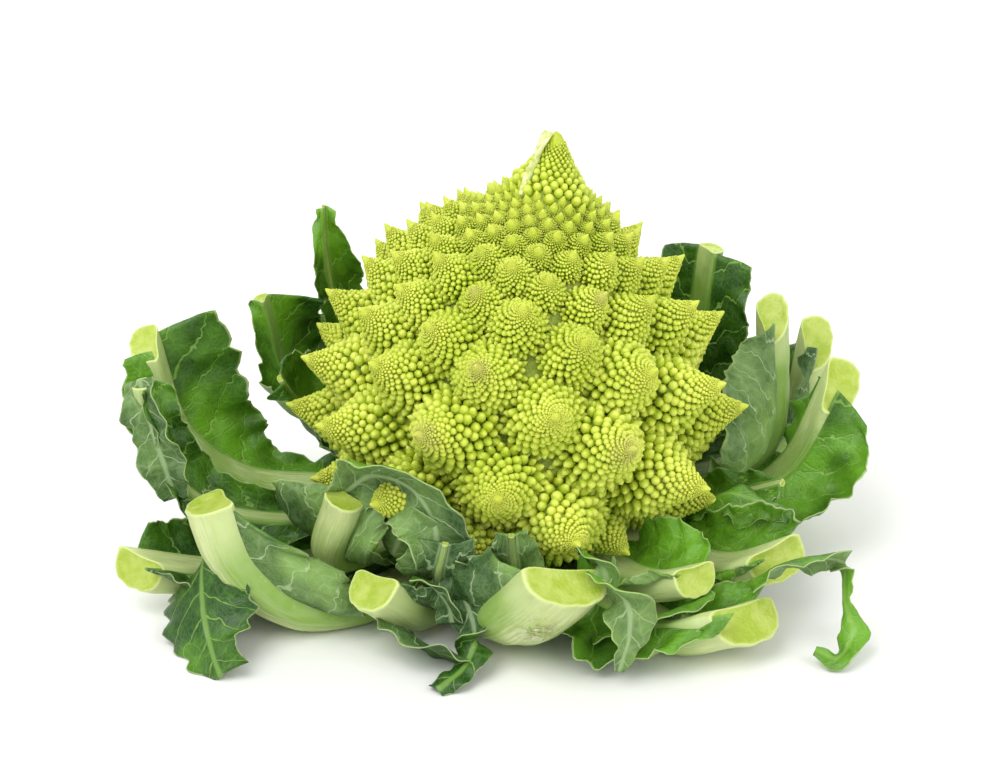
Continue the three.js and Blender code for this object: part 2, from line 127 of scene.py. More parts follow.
# rib: the middle of the rib's inner face, from the stalk to the cut.
# width, depth: the rib at the stalk and at the cut.
# left, right: the rims of the blades, seen from outside with the cut up.
# left_look: what differs from BLADE_LOOK: length and depth of the notches, and the bow.
# tone: from 0, dark, to 1, bright. green: how green the rib is.
# cut: the direction the cut face looks in, where that is not along the rib.
# scar: the middle of a scratched patch on the rib.
# strips: loose lobes, each with its middle line and its width along that; twist is in degrees,
# cup and ruffle are heights of its curve and its waves, and flip turns its inner skin outwards.
LEAVES = [
    dict(name="leaf_front", tone=0.45, scar=(5, -82, 17),
         rib=[(-2, -23, 14), (-3, -44, 13), (-2, -64, 15), (12, -80, 38)],
         width=(22, 29), depth=(10, 14),
         left=[(-15, -42, 12), (-17, -64, 14), (-22, -68, 28), (-12, -70, 39)],
         right=[(14, -42, 13), (16, -66, 14), (25, -76, 24), (27, -78, 38)],
         strips=[dict(line=[(20, -78, 34), (31, -84, 28), (32, -86, 18), (29, -88, 6)],
                      width=(10, 16, 14, 3)),
                 dict(line=[(17, -72, 39), (24, -77, 36), (26, -78, 27)], width=(6, 10, 5))]),
    dict(name="leaf_front_left", tone=0.5,
         rib=[(-17, -17, 13), (-42, -37, 10), (-66, -50, 12), (-83, -54, 28), (-89, -52, 47)],
         width=(17, 22), depth=(10, 15),
         left=[(-46, -30, 12), (-72, -42, 15), (-90, -47, 30), (-95, -49, 46)],
         right=[(-36, -46, 8), (-48, -58, 9), (-53, -58, 20), (-76, -54, 34)]),
    dict(name="leaf_low_left", tone=0.5,
         rib=[(-9, -22, 12), (-22, -40, 12), (-34, -55, 14), (-43, -64, 27)],
         width=(14, 18), depth=(9, 13),
         left=[(-30, -38, 11), (-43, -50, 12), (-50, -60, 22)],
         right=[(-12, -42, 11), (-22, -62, 10), (-24, -68, 20), (-34, -68, 26)],
         strips=[dict(line=[(-42, -56, 9), (-34, -68, 7), (-25, -75, 5), (-13, -78, 3)],
                      width=(16, 24, 22, 10), flip=True, ruffle=2.5),
                 dict(line=[(-33, -66, 26), (-27, -68, 24), (-22, -70, 18), (-21, -71, 13)],
                      width=(7, 11, 11, 8), ruffle=2)]),
    dict(name="leaf_low_right", tone=0.55, cut=(0.45, -0.6, 0.66),
         rib=[(13, -20, 13), (30, -48, 12), (47, -64, 12), (67, -69, 20)],
         width=(16, 23), depth=(9, 14),
         left=[(12, -56, 8), (18, -83, 7), (42, -84, 8), (60, -80, 15)],
         right=[(36, -42, 14), (50, -56, 17), (74, -62, 24)],
         strips=[dict(line=[(70, -62, 22), (86, -60, 29), (99, -60, 28), (100, -64, 17),
                            (102, -70, 8), (97, -76, 3), (90, -74, 5)],
                      width=(18, 16, 11, 3, 9, 8, 4), twist=(0, 10, 40, 60, 30, 60), ruffle=2.2),
                 dict(line=[(22, -72, 8), (36, -72, 13), (50, -68, 17), (58, -62, 19)],
                      width=(8, 13, 12, 5), ruffle=2.4, cup=0.5)]),
    dict(name="leaf_low_far_left", tone=0.35, cut=(-0.35, -0.9, 0.25),
         rib=[(-22, -7, 12), (-58, -20, 11), (-92, -34, 14), (-119, -44, 23)],
         width=(10, 13), depth=(8, 13),
         left=[(-58, -8, 12), (-94, -16, 15), (-108, -24, 24), (-118, -36, 29)],
         right=[(-54, -34, 9), (-84, -54, 14), (-98, -58, 12), (-114, -52, 19)],
         strips=[dict(line=[(-98, -38, 27), (-99, -52, 23), (-98, -64, 15), (-95, -74, 7), (-91, -84, 2)],
                      width=(34, 38, 34, 26, 15), twist=(35, 70, 85, 85, 75), cup=-0.15,
                      ruffle=3.4, flip=True)]),
    dict(name="leaf_left_tall", tone=0.6, cut=(-0.1, -0.35, 0.93), green=0.45,
         rib=[(-22, 0, 24), (-62, -3, 28), (-88, -6, 32), (-106, -8, 47), (-115, -8, 80)],
         width=(13, 17), depth=(7, 10),
         left=[(-50, 8, 25), (-81, 12, 32), (-88, 10, 52), (-98, 0, 86)],
         right=[(-56, -16, 25), (-98, -18, 34), (-126, -18, 56), (-125, -13, 78)]),
    dict(name="leaf_back_left", tone=0.4, green=0.8,
         rib=[(-17, 14, 25), (-42, 28, 22), (-74, 30, 44), (-84, 26, 81)],
         width=(6, 6), depth=(4, 5),
         left=[(-34, 40, 22), (-56, 54, 40), (-68, 48, 58), (-67, 38, 76)],
         right=[(-52, 18, 23), (-80, 22, 40), (-88, 24, 62), (-89, 26, 82)]),
    dict(name="leaf_right_wide", tone=0.6, cut=(0.2, -0.75, 0.63), green=0.3,
         left_look=dict(tooth=22, tear=0.07, bow=0.16),
         rib=[(23, 3, 12), (58, 8, 12), (88, 14, 26), (102, 19, 54)],
         width=(10, 14), depth=(7, 13),
         left=[(56, -12, 10), (90, -16, 18), (113, -10, 28), (115, 6, 43)],
         right=[(58, 24, 13), (90, 28, 26), (100, 30, 50)]),
    dict(name="leaf_right", tone=0.6, cut=(0.35, -0.8, 0.45),
         rib=[(21, -10, 21), (42, -24, 17), (62, -40, 19), (78, -47, 28)],
         width=(12, 18), depth=(8, 13),
         left=[(36, -36, 14), (56, -50, 15), (72, -54, 22)],
         right=[(44, -12, 19), (62, -26, 30), (80, -34, 35), (87, -40, 31)]),
    dict(name="leaf_inner_right", tone=0.65, cut=(0.5, -0.75, 0.4),
         rib=[(16, -17, 22), (27, -38, 19), (38, -54, 22), (52, -64, 30)],
         width=(10, 15), depth=(7, 11),
         left=[(16, -38, 18), (26, -62, 23), (42, -68, 26)],
         right=[(34, -28, 19), (46, -40, 34), (57, -53, 33)]),
    dict(name="leaf_inner_left", tone=0.4,
         rib=[(-21, -9, 22), (-42, -22, 18), (-58, -37, 21), (-53, -43, 43)],
         width=(10, 13), depth=(6, 9),
         left=[(-42, -10, 19), (-66, -22, 24), (-78, -30, 40), (-60, -37, 43)],
         right=[(-34, -36, 18), (-45, -55, 26), (-41, -55, 38), (-44, -46, 48)],
         strips=[dict(line=[(-55, -42, 43), (-45, -50, 53), (-33, -56, 51), (-26, -61, 39), (-28, -63, 28)],
                      width=(12, 23, 27, 22, 12), twist=(0, 20, 35, 30), cup=0.45, ruffle=2.6),
                 dict(line=[(-40, -48, 24), (-36, -52, 34), (-31, -57, 36), (-26, -62, 30)],
                      width=(12, 20, 18, 8), cup=-0.3, ruffle=2.6, twist=(0, 20, 40))]),
    dict(name="leaf_left_folded", tone=0.3, green=0.3,
         rib=[(-22, -8, 31), (-58, -18, 23), (-98, -28, 32), (-111, -32, 50), (-115, -32, 76)],
         width=(7, 9), depth=(4, 6),
         left=[(-58, -10, 24), (-96, -20, 40), (-104, -25, 55), (-109, -27, 72)],
         right=[(-58, -27, 21), (-98, -36, 24), (-112, -36, 44), (-119, -33, 74)],
         strips=[dict(line=[(-118, -34, 78), (-115, -38, 66), (-112, -39, 54), (-109, -36, 38)],
                      width=(9, 15, 15, 8), twist=(70, 60, 70, 80), ruffle=2.6, cup=0.4)]),
    dict(name="leaf_right_tall", tone=0.55, cut=(-0.25, -0.75, 0.6), green=0.35,
         left_look=dict(tooth=26, tear=0.05, bow=0.22),
         rib=[(23, 8, 21), (52, 18, 19), (80, 26, 28), (81, 29, 72)],
         width=(9, 12), depth=(6, 10),
         left=[(50, 2, 18), (65, 0, 28), (68, 6, 54), (74, 20, 70)],
         right=[(48, 30, 20), (86, 38, 30), (92, 40, 70)]),
    dict(name="leaf_right_mid", tone=0.35, cut=(0.1, -0.8, 0.6),
         rib=[(21, 14, 12), (56, 33, 12), (91, 42, 28), (98, 45, 57)],
         width=(10, 13), depth=(7, 11),
         left=[(58, 24, 13), (90, 33, 28), (97, 40, 59)],
         right=[(44, 46, 12), (78, 58, 28), (100, 56, 58)]),
    dict(name="leaf_back_right", tone=0.35, green=0.8,
         rib=[(15, 16, 24), (35, 36, 20), (56, 48, 44), (63, 48, 90)],
         width=(6, 9), depth=(5, 7),
         left=[(44, 26, 21), (74, 38, 42), (79, 44, 84)],
         right=[(26, 44, 20), (42, 58, 46), (50, 54, 90)]),
    dict(name="leaf_pointed", tone=0.75, green=0.5,
         rib=[(-11, 18, 31), (-34, 40, 24), (-60, 50, 62), (-65, 44, 88), (-65, 40, 108)],
         width=(6, 2), depth=(3, 1),
         left=[(-28, 46, 24), (-50, 58, 60), (-55, 50, 84), (-64, 41, 107)],
         right=[(-44, 34, 24), (-66, 46, 60), (-70, 42, 84), (-67, 39, 107)]),
    dict(name="leaf_curled", tone=0.5, green=0.3,
         rib=[(-19, 8, 31), (-50, 22, 23), (-72, 20, 44), (-78, 8, 60)],
         width=(5, 3), depth=(3, 2),
         left=[(-50, 32, 24), (-68, 26, 58), (-76, 10, 70)],
         right=[(-56, 12, 24), (-73, 10, 48), (-79, 4, 54)]),
    dict(name="leaf_right_folded", tone=0.4, green=0.4,
         rib=[(22, -2, 29), (52, -8, 22), (74, -14, 30), (84, -20, 36)],
         width=(5, 3), depth=(3, 2),
         left=[(50, -20, 20), (70, -28, 27), (82, -28, 33)],
         right=[(50, 6, 22), (72, -6, 33), (85, -14, 35)],
         strips=[dict(line=[(56, -22, 26), (66, -24, 33), (76, -29, 33), (86, -36, 31)],
                      width=(8, 16, 14, 5), ruffle=3.2, cup=0.5)]),
    dict(name="leaf_back", tone=0.45,
         rib=[(3, 22, 13), (6, 52, 12), (8, 78, 26), (7, 84, 62)],
         width=(15, 19), depth=(9, 12),
         left=[(22, 48, 12), (34, 72, 24), (36, 80, 46), (26, 84, 62)],
         right=[(-10, 50, 12), (-22, 74, 24), (-26, 82, 48), (-14, 84, 66)]),
    dict(name="leaf_back_far_left", tone=0.4,
         rib=[(-14, 18, 12), (-38, 46, 12), (-58, 70, 24), (-60, 76, 56)],
         width=(13, 17), depth=(8, 11),
         left=[(-26, 54, 12), (-38, 80, 28), (-46, 82, 58)],
         right=[(-50, 36, 12), (-74, 56, 26), (-72, 66, 58)]),
    dict(name="leaf_back_far_right", tone=0.5,
         rib=[(15, 18, 12), (38, 44, 12), (58, 68, 24), (64, 74, 54)],
         width=(13, 17), depth=(8, 11),
         left=[(50, 34, 12), (76, 54, 24), (78, 64, 52)],
         right=[(28, 54, 12), (44, 80, 28), (52, 82, 56)]),
    dict(name="leaf_inner_back", tone=0.6,
         rib=[(-2, 22, 23), (-6, 46, 20), (-12, 66, 38), (-12, 70, 68)],
         width=(8, 9), depth=(5, 7),
         left=[(8, 46, 20), (10, 66, 40), (0, 70, 70)],
         right=[(-20, 44, 20), (-34, 60, 40), (-24, 68, 70)]),
    dict(name="leaf_inner_front", tone=0.6, green=0.7,
         rib=[(1, -22, 24), (0, -46, 20), (-2, -64, 28), (-3, -68, 42)],
         width=(4, 2), depth=(3, 2),
         left=[(-8, -46, 20), (-11, -64, 30), (-8, -68, 42)],
         right=[(8, -46, 20), (7, -64, 30), (2, -68, 43)]),
    dict(name="leaf_twisted", tone=0.25, green=0.7,
         rib=[(-8, -21, 24), (-16, -44, 19), (-25, -62, 24), (-23, -66, 38)],
         width=(4, 2), depth=(3, 2),
         left=[(-28, -44, 18), (-38, -58, 26), (-33, -62, 38)],
         right=[(-10, -46, 19), (-14, -64, 22), (-14, -67, 39)],
         strips=[dict(line=[(-22, -64, 30), (-17, -69, 20), (-14, -76, 11), (-17, -84, 5), (-25, -92, 2)],
                      width=(16, 15, 12, 9, 7), twist=(0, 50, 20, 70), ruffle=2.6)]),
]

RIB_SIDES = 40
RIB_GREEN = 0.1  # how green a rib is where its leaf says nothing
RIB_SWELLING = 0.035  # of its depth
SHEAR_LENGTH, SHEAR_LIMIT = 22, 11  # of a slanted cut: along the rib, and the farthest a point moves
PALE_LENGTH = 26  # the rib is paler this far from its cut
# Rings of a cut face, as a share of its rim and a height over it, and the depth of its middle.
CUT_RINGS = [(0.975, 0.35), (0.93, 0.45), (0.8, 0.2), (0.6, -0.1), (0.35, -0.3), (0.12, -0.35)]
CUT_SUNK = 0.35
RIB_SCAR = (4.5, 9, 6.5)  # size of a scratched patch
BLADE_STEPS = (72, 26)  # grid of one blade: along the rib, out to the margin
BLADE_START = 0.55  # where the rim starts beside the rib's foot, as a share of the rib's width
BLADE_ROOT = (0.9, 0.22)  # where a blade leaves the rib, as shares of its half width and depth
RIM_GUARD = 1.5  # how far outside the rib the rim stays from midway on
# Spacing of a blade's notches, their depth as a share of its width, and its bow as a share of that.
BLADE_LOOK = dict(tooth=13, tear=0.13, bow=0.1)
BLADE_ROLL = 0.5  # radians at the margin
BLADE_WAVE, BLADE_FRILL, BLADE_SLIDE = 3.6, 1.7, 1.2  # long and short waves, and waves along the rib
VEIN_SPACING = 13
VEIN_SLANT = 0.85  # how far a vein runs towards the cut for each step out from the rib
LOBE_STEPS = (44, 15)  # grid of a loose lobe: along its line, across it
LOBE_TOOTH, LOBE_VEIN_SPACING = 7.0, 8.0
RIB_CLEARANCE, BLADE_CLEARANCE, LOBE_CLEARANCE = 0.4, 0.5, 0.45  # least heights over the floor

# ---------------------------------------------------------------- the stage, metres

LIGHTS = {  # place, size
    "key": ((-0.5, -0.55, 1.1), (0.9, 0.9)),
    "fill": ((0.8, -0.7, 0.7), (0.9, 0.9)),
    "back": ((0.0, 1.9, 1.3), (2.4, 1.2)),
}
LIGHTS_AIM = (0, 0, 0.05)
FLOOR_HALF = 3.0
CAMERA_PLACE = (-0.0065, -0.6779, 0.3643)
CAMERA_TILT = 66  # degrees up from straight down
SENSOR_WIDTH = 36


# ---------------------------------------------------------------- curves and helpers

def unit(vectors):
    """Each vector divided by its length."""
    return vectors / np.maximum(np.linalg.norm(vectors, axis=-1, keepdims=True), 1e-9)


def smoothstep(x, low, high):
    """0 below low, 1 above high, and 3t^2 - 2t^3 between them."""
    t = np.clip((x - low) / (high - low), 0, 1)
    return t * t * (3 - 2 * t)


def spline(points, at):
    """Centripetal Catmull-Rom curve through the points, read at parameters from 0 to 1: between two
    points a cubic whose slopes come from the neighbours, weighted by the root of their distances."""
    p = np.asarray(points, float)
    p = np.vstack([2 * p[0] - p[1], p, 2 * p[-1] - p[-2]])
    place = np.asarray(at) * (len(p) - 3)
    i = np.clip(place.astype(int), 0, len(p) - 4)
    w = (place - i)[:, None]
    p0, p1, p2, p3 = (p[i + k] for k in range(4))
    d0, d1, d2 = (np.maximum(np.linalg.norm(b - a, axis=1), 1e-6)[:, None] ** 0.5
                  for a, b in ((p0, p1), (p1, p2), (p2, p3)))
    m1 = ((p1 - p0) / d0 - (p2 - p0) / (d0 + d1) + (p2 - p1) / d1) * d1
    m2 = ((p2 - p1) / d1 - (p3 - p1) / (d1 + d2) + (p3 - p2) / d2) * d1
    return p1 + w * m1 + w**2 * (3 * (p2 - p1) - 2 * m1 - m2) + w**3 * (2 * (p1 - p2) + m1 + m2)


def polar(radius, turn, height):
    """Points at a distance from the z axis, an angle round it and a height."""
    return np.stack(np.broadcast_arrays(radius * np.cos(turn), radius * np.sin(turn), height), -1)


def length_along(line):
    """Distance travelled along a line of points, from 0 at its first."""
    steps = np.linalg.norm(np.diff(line, axis=0), axis=1)
    return np.concatenate([[0], np.cumsum(steps)])


def wander(t, seed, waves):
    """Smooth unrest between about -1 and 1: a sum of four sines of rising frequency and seeded
    phase, the first with about that many waves to each unit of t."""
    rng = np.random.default_rng(seed)
    total = np.zeros_like(t, dtype=float)
    for k in range(4):
        turn = waves * (1.6 ** k) * rng.uniform(0.8, 1.2)
        total = total + np.sin(2 * math.pi * (turn * t + rng.uniform())) / (1.35 ** k)
    return total / 2.2


def rib_frames(line):
    """Tangent, outward and right vectors along a rib: outward is away from the axis and down, made
    square to the tangent, and right is the tangent crossed with it."""
    tangent = unit(np.gradient(line, axis=0))
    outward = unit(line * (1, 1, 0))
    outward[:, 2] = -1
    outward = unit(outward - tangent * (outward * tangent).sum(1, keepdims=True))
    return tangent, outward, np.cross(tangent, outward)


# ---------------------------------------------------------------- meshes

def grid_faces(rows, columns, wrap=False):
    """Four-cornered faces between neighbouring points of a grid; wrap joins last column to first."""
    i = np.arange(rows - 1)[:, None]
    j = np.arange(columns if wrap else columns - 1)[None, :]
    k = (j + 1) % columns
    corners = (i * columns + j, i * columns + k, (i + 1) * columns + k, (i + 1) * columns + j)
    return np.stack(np.broadcast_arrays(*corners), -1).reshape(-1, 4)


def fan_faces(ring, pole):
    """Triangles from a closed ring of points to one more point."""
    return np.stack([ring, np.roll(ring, -1), np.full(len(ring), pole)], -1)


def enclosed(points, faces):
    """Signed volume inside closed faces, each cut into a fan of triangles."""
    total = 0.0
    for group in faces:
        a = points[group[:, 0]]
        for k in range(1, group.shape[1] - 1):
            total += (a * np.cross(points[group[:, k]], points[group[:, k + 1]])).sum()
    return total / 6


class Shape:
    """Closed parts gathered into one mesh, with a finish for each face and values for each point."""

    def __init__(self):
        self.points, self.groups, self.values, self.total = [], [], [], 0

    def add(self, points, faces, finishes=None, **values):
        """points: n x 3. faces: arrays of corner numbers, one for each number of corners.
        finishes: for each of those arrays, the number of its material."""
        points = np.asarray(points, float).reshape(-1, 3)
        finishes = finishes or [0] * len(faces)
        for group, finish in zip(faces, finishes):
            self.groups.append((np.asarray(group) + self.total, finish))
        count = len(points)
        self.points.append(points)
        self.values.append({k: np.broadcast_to(np.asarray(v, float), count) if np.ndim(v) == 0
                            else np.asarray(v, float).reshape(-1) for k, v in values.items()})
        self.total += count

    def closed(self, points, faces, finishes=None, **values):
        """Adds a closed part, turned so that its faces look outwards."""
        points = np.asarray(points, float).reshape(-1, 3)
        if enclosed(points, faces) < 0:
            faces = [group[:, ::-1] for group in faces]
        self.add(points, faces, finishes, **values)

    def piece(self, name, materials, node):
        """Makes the mesh object, in metres, riding on the root in place of a node of the model, and
        puts it in the scene."""
        points = np.concatenate(self.points) * MM
        mesh = bpy.data.meshes.new(name)
        mesh.vertices.add(len(points))
        mesh.vertices.foreach_set("co", points.astype(np.float32).ravel())
        corners = np.concatenate([group.ravel() for group, _ in self.groups])
        sizes = np.concatenate([np.full(len(group), group.shape[1]) for group, _ in self.groups])
        finish = np.concatenate([np.full(len(group), mark) for group, mark in self.groups])
        mesh.loops.add(len(corners))
        mesh.loops.foreach_set("vertex_index", corners.astype(np.int32))
        mesh.polygons.add(len(sizes))
        mesh.polygons.foreach_set("loop_start", (np.cumsum(sizes) - sizes).astype(np.int32))
        mesh.polygons.foreach_set("material_index", finish.astype(np.int32))
        mesh.polygons.foreach_set("use_smooth", np.ones(len(sizes), bool))
        mesh.update(calc_edges=True)
        for key in sorted({key for part in self.values for key in part}):
            values = np.concatenate([part.get(key, np.zeros(len(co)))
                                     for part, co in zip(self.values, self.points)])
            layer = mesh.attributes.new(key, "FLOAT", "POINT")
            layer.data.foreach_set("value", values.astype(np.float32))
        for material in materials:
            mesh.materials.append(material)
        thing = bpy.data.objects.new(name, mesh)
        bpy.context.collection.objects.link(thing)
        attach(thing, "root")
        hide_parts(node)


def sheet(surface, thickness):
    """A thin closed wall: the surface moved half its thickness to each side along its normals, and
    closed round the border. Gives points, faces, and 0 for the front points and 1 for the back."""
    rows, columns = surface.shape[:2]
    normal = unit(np.cross(np.gradient(surface, axis=0), np.gradient(surface, axis=1)))
    front = surface + normal * thickness[..., None] / 2
    back = surface - normal * thickness[..., None] / 2
    skin = grid_faces(rows, columns)
    count = rows * columns
    border = np.concatenate([
        np.arange(columns), np.arange(1, rows) * columns + columns - 1,
        (rows - 1) * columns + np.arange(columns - 2, -1, -1), np.arange(rows - 2, 0, -1) * columns,
    ])
    onward = np.roll(border, -1)
    rim = np.stack([border, onward, onward + count, border + count], -1)
    points = np.concatenate([front.reshape(-1, 3), back.reshape(-1, 3)])
    back_side = np.repeat([0.0, 1.0], count)
    return points, [np.concatenate([skin[:, ::-1], skin + count, rim])], back_side


# ---------------------------------------------------------------- curd

def lean(points, amount):
    """Moves points sideways in x, by a smooth step of their height that ends in the whole amount."""
    moved = np.array(points, float)
    moved[..., 0] += amount * smoothstep(moved[..., 2], LEAN_FROM, LEAN_TO)
    return moved


def profile_curve(profile, steps):
    """A profile of radius and height as points on its spline, their distance from the first one, and
    their outward normals."""
    line = spline(profile, np.linspace(0, 1, steps))
    line[:, 0] = np.maximum(line[:, 0], 0)
    tangent = unit(np.gradient(line, axis=0))
    return line, length_along(line), np.stack([-tangent[:, 1], tangent[:, 0]], -1)


def golden_rows(distance, radius, spacing, start, stop):
    """Distances of points that fill a turned surface evenly: the number of points down to a distance
    is the sum of circumference over packing times spacing squared, read at whole numbers."""
    crowd = 2 * math.pi * radius / (PACKING * spacing**2)
    steps = np.diff(distance)
    number = np.concatenate([[0], np.cumsum((crowd[1:] + crowd[:-1]) / 2 * steps)])
    first, last = np.interp([start, stop], distance, number)
    return np.interp(np.arange(math.ceil(first), math.floor(last)), number, distance)


def place_florets(settings):
    """Every floret of the curd, from the apex down: its foot, axis, spacing and turn."""
    line, distance, _ = profile_curve(BODY_PROFILE, BODY_STEPS)
    from_apex, spacing = np.array(FLORET_SPACING, float).T
    spacing = np.interp(distance, from_apex, spacing)
    rows = golden_rows(distance, line[:, 0], spacing, FIRST_FLORET, LAST_FLORET)
    rng = np.random.default_rng(settings.seed)
    count = len(rows)
    angle = settings.turn + settings.hand * GOLDEN_ANGLE * np.arange(count)
    radius, height = (np.interp(rows, distance, line[:, k]) for k in (0, 1))
    stretch = 1 - APEX_CROWDING * np.cos(angle) * smoothstep(-rows, -75, -45)
    room = np.interp(rows, distance, spacing) * rng.uniform(*SIZE_UNREST, count) * stretch
    around = polar(1, angle, 0)
    from_apex, tilt = np.array(FLORET_TILT, float).T
    tilt = np.radians(np.interp(rows, from_apex, tilt))[:, None]
    axis = around * np.cos(tilt) + np.array([0, 0, 1]) * np.sin(tilt)
    large = smoothstep(room, 3, 12)
    axis = unit(axis + rng.normal(0, AXIS_UNREST, (count, 3)) * large[:, None])
    foot = around * radius[:, None] + np.array([0, 0, 1]) * height[:, None]
    foot = foot + rng.normal(0, FOOT_UNREST, (count, 3)) * (room * large)[:, None]
    return foot, axis, room, rng.uniform(0, 2 * math.pi, count)


def frames_about(axis):
    """Two vectors square to each axis: one level, one crossing both, which leans upwards."""
    level = np.cross(np.array([0, 0, 1.0]), axis)
    flat = np.linalg.norm(level, axis=-1) < 1e-3
    level[flat] = (1, 0, 0)
    level = unit(level)
    return level, np.cross(axis, level)


def bent(local, level, rise, axis, foot, room):
    """Points given across, up and along a floret's axis, put in place. The floret bends upwards: its
    points shift towards rise by the square of their height."""
    x, y, h = local[..., 0], local[..., 1], local[..., 2]
    y = y + FLORET_BEND * np.maximum(h, 0) ** 2
    return foot + room[..., None] * (
        x[..., None] * level + y[..., None] * rise + h[..., None] * axis)


def bud_shape(point, sides, rings):
    """One bud of spacing 1 for each value of point, 0 round to 1 pointed: rings of points round its
    axis from its foot to its tip. Gives points (bud, ring point, 3) and each point's height share."""
    count = len(point)
    mix = point[:, None, None]
    profile = np.array(BUD_ROUND)[None] * (1 - mix) + np.array(BUD_POINTED)[None] * mix
    place = np.linspace(0, len(BUD_ROUND) - 1, rings)
    i = np.clip(place.astype(int), 0, len(BUD_ROUND) - 2)
    w = (place - i)[None, :, None]
    rim = profile[:, i] * (1 - w) + profile[:, i + 1] * w
    turn = np.arange(sides) * 2 * math.pi / sides
    ring = polar(rim[:, :, :1], turn, rim[:, :, 1:]).reshape(count, rings * sides, 3)
    tip = BUD_ROUND_TIP * (1 - point) + BUD_POINTED_TIP * point
    pole = np.stack([np.zeros(count), np.zeros(count), tip], -1)[:, None]
    level = np.concatenate([np.repeat(np.linspace(0, 0.88, rings), sides), [1.0]])
    return np.concatenate([ring, pole], 1), level


def bud_faces(sides, rings):
    """Faces of one bud: bands between its rings, a fan at its tip and one face under its foot."""
    band = grid_faces(rings, sides, wrap=True)
    fan = fan_faces((rings - 1) * sides + np.arange(sides), rings * sides)
    foot = np.arange(sides)[::-1][None]
    return [band, fan, foot]


def repeated(groups, count, each):
    """Faces of one part repeated for count parts, which have that many points each."""
    start = (np.arange(count) * each)[:, None, None]
    return [(group[None] + start).reshape(-1, group.shape[1]) for group in groups]


def lay_buds(shape, centre, axis, size, point, **values):
    """Adds a bud at each centre along each axis, in four grades of roundness by size."""
    level, rise = frames_about(axis)
    for low, high, sides, rings in BUD_GRADES:
        chosen = (size >= low) & (size < high)
        if not chosen.any():
            continue
        local, height = bud_shape(point[chosen], sides, rings)
        local = local * size[chosen, None, None]
        points = centre[chosen, None] + sum(
            local[..., k, None] * way[chosen, None]
            for k, way in enumerate((level, rise, axis)))
        count, each = points.shape[:2]
        faces = repeated(bud_faces(sides, rings), count, each)
        per_bud = {k: np.repeat(np.asarray(v, float)[chosen], each) for k, v in values.items()}
        # The height share of each bud point sets its painted shade at the foot and its painted highlight at
        # the top.
        shape.add(points, faces, height=np.tile(height, count), **per_bud)


def lay_florets(shape, profile, foot, axis, room, turn, stain, settings):
    """Adds florets of one profile: for each its buds and a smooth cone under them."""
    curve = profile_curve(profile, FLORET_STEPS)
    rng = np.random.default_rng(settings.seed + 5 + len(room))
    place = (*frames_about(axis), axis, foot, room)
    lay_floret_buds(shape, curve, place, turn, stain, rng, settings.hand)
    lay_floret_cones(shape, curve, place, stain, rng)


def lay_floret_buds(shape, curve, place, turn, stain, rng, hand):
    """Adds the buds of florets, in golden-angle spirals from the tip to the skirt. A bud's spacing
    grows with its distance from the tip, and buds narrower than the smallest are left out."""
    line, distance, normal = curve
    share = distance[-1]
    bud_room = np.clip(BUD_GROWTH * distance, 0.012, LARGEST_BUD)
    rows = golden_rows(distance, line[:, 0], bud_room, 0.06, share * LOWEST_BUD)
    radius, height = (np.interp(rows, distance, line[:, k]) for k in (0, 1))
    out, up = (np.interp(rows, distance, normal[:, k]) for k in (0, 1))
    size = np.interp(rows, distance, bud_room)
    wide = place[-1][:, None] * size[None]
    i, j = np.nonzero(wide > SMALLEST_BUD)
    level, rise, axis, foot, room = (values[i] for values in place)
    angle = turn[i] + hand * GOLDEN_ANGLE * j + rng.normal(0, 0.035, len(i))
    local = polar(radius[j], angle, height[j] + rng.normal(0, 0.07, len(i)) * size[j])
    sunk = 0.2 * (1 - smoothstep(rows / share, 0.2, 0.6)) * size
    local[:, 2] -= up[j] * sunk[j]
    centre = bent(local, level, rise, axis, foot, room)
    way = polar(out[j], angle, up[j])
    way = unit(way[:, :1] * level + way[:, 1:2] * rise + way[:, 2:] * axis)
    from_tip = rows[j] / share
    base = smoothstep(from_tip, 0.4, 0.72)
    way = unit(way + rng.normal(0, 0.09, way.shape) + 0.25 * base[:, None] * axis)
    low = smoothstep(-foot[:, 2], -75, -40)
    point = 0.16 + base * (0.5 + 0.42 * low) + rng.normal(0, 0.1, len(i))
    lay_buds(shape, centre, way, wide[i, j] * rng.uniform(0.9, 1.1, len(i)), np.clip(point, 0, 1),
             tip=1 - smoothstep(from_tip, 0.05, 0.6), tone=rng.uniform(0, 1, len(i)),
             stain=stain[i] * (1 - smoothstep(from_tip, 0.12, 0.34)))


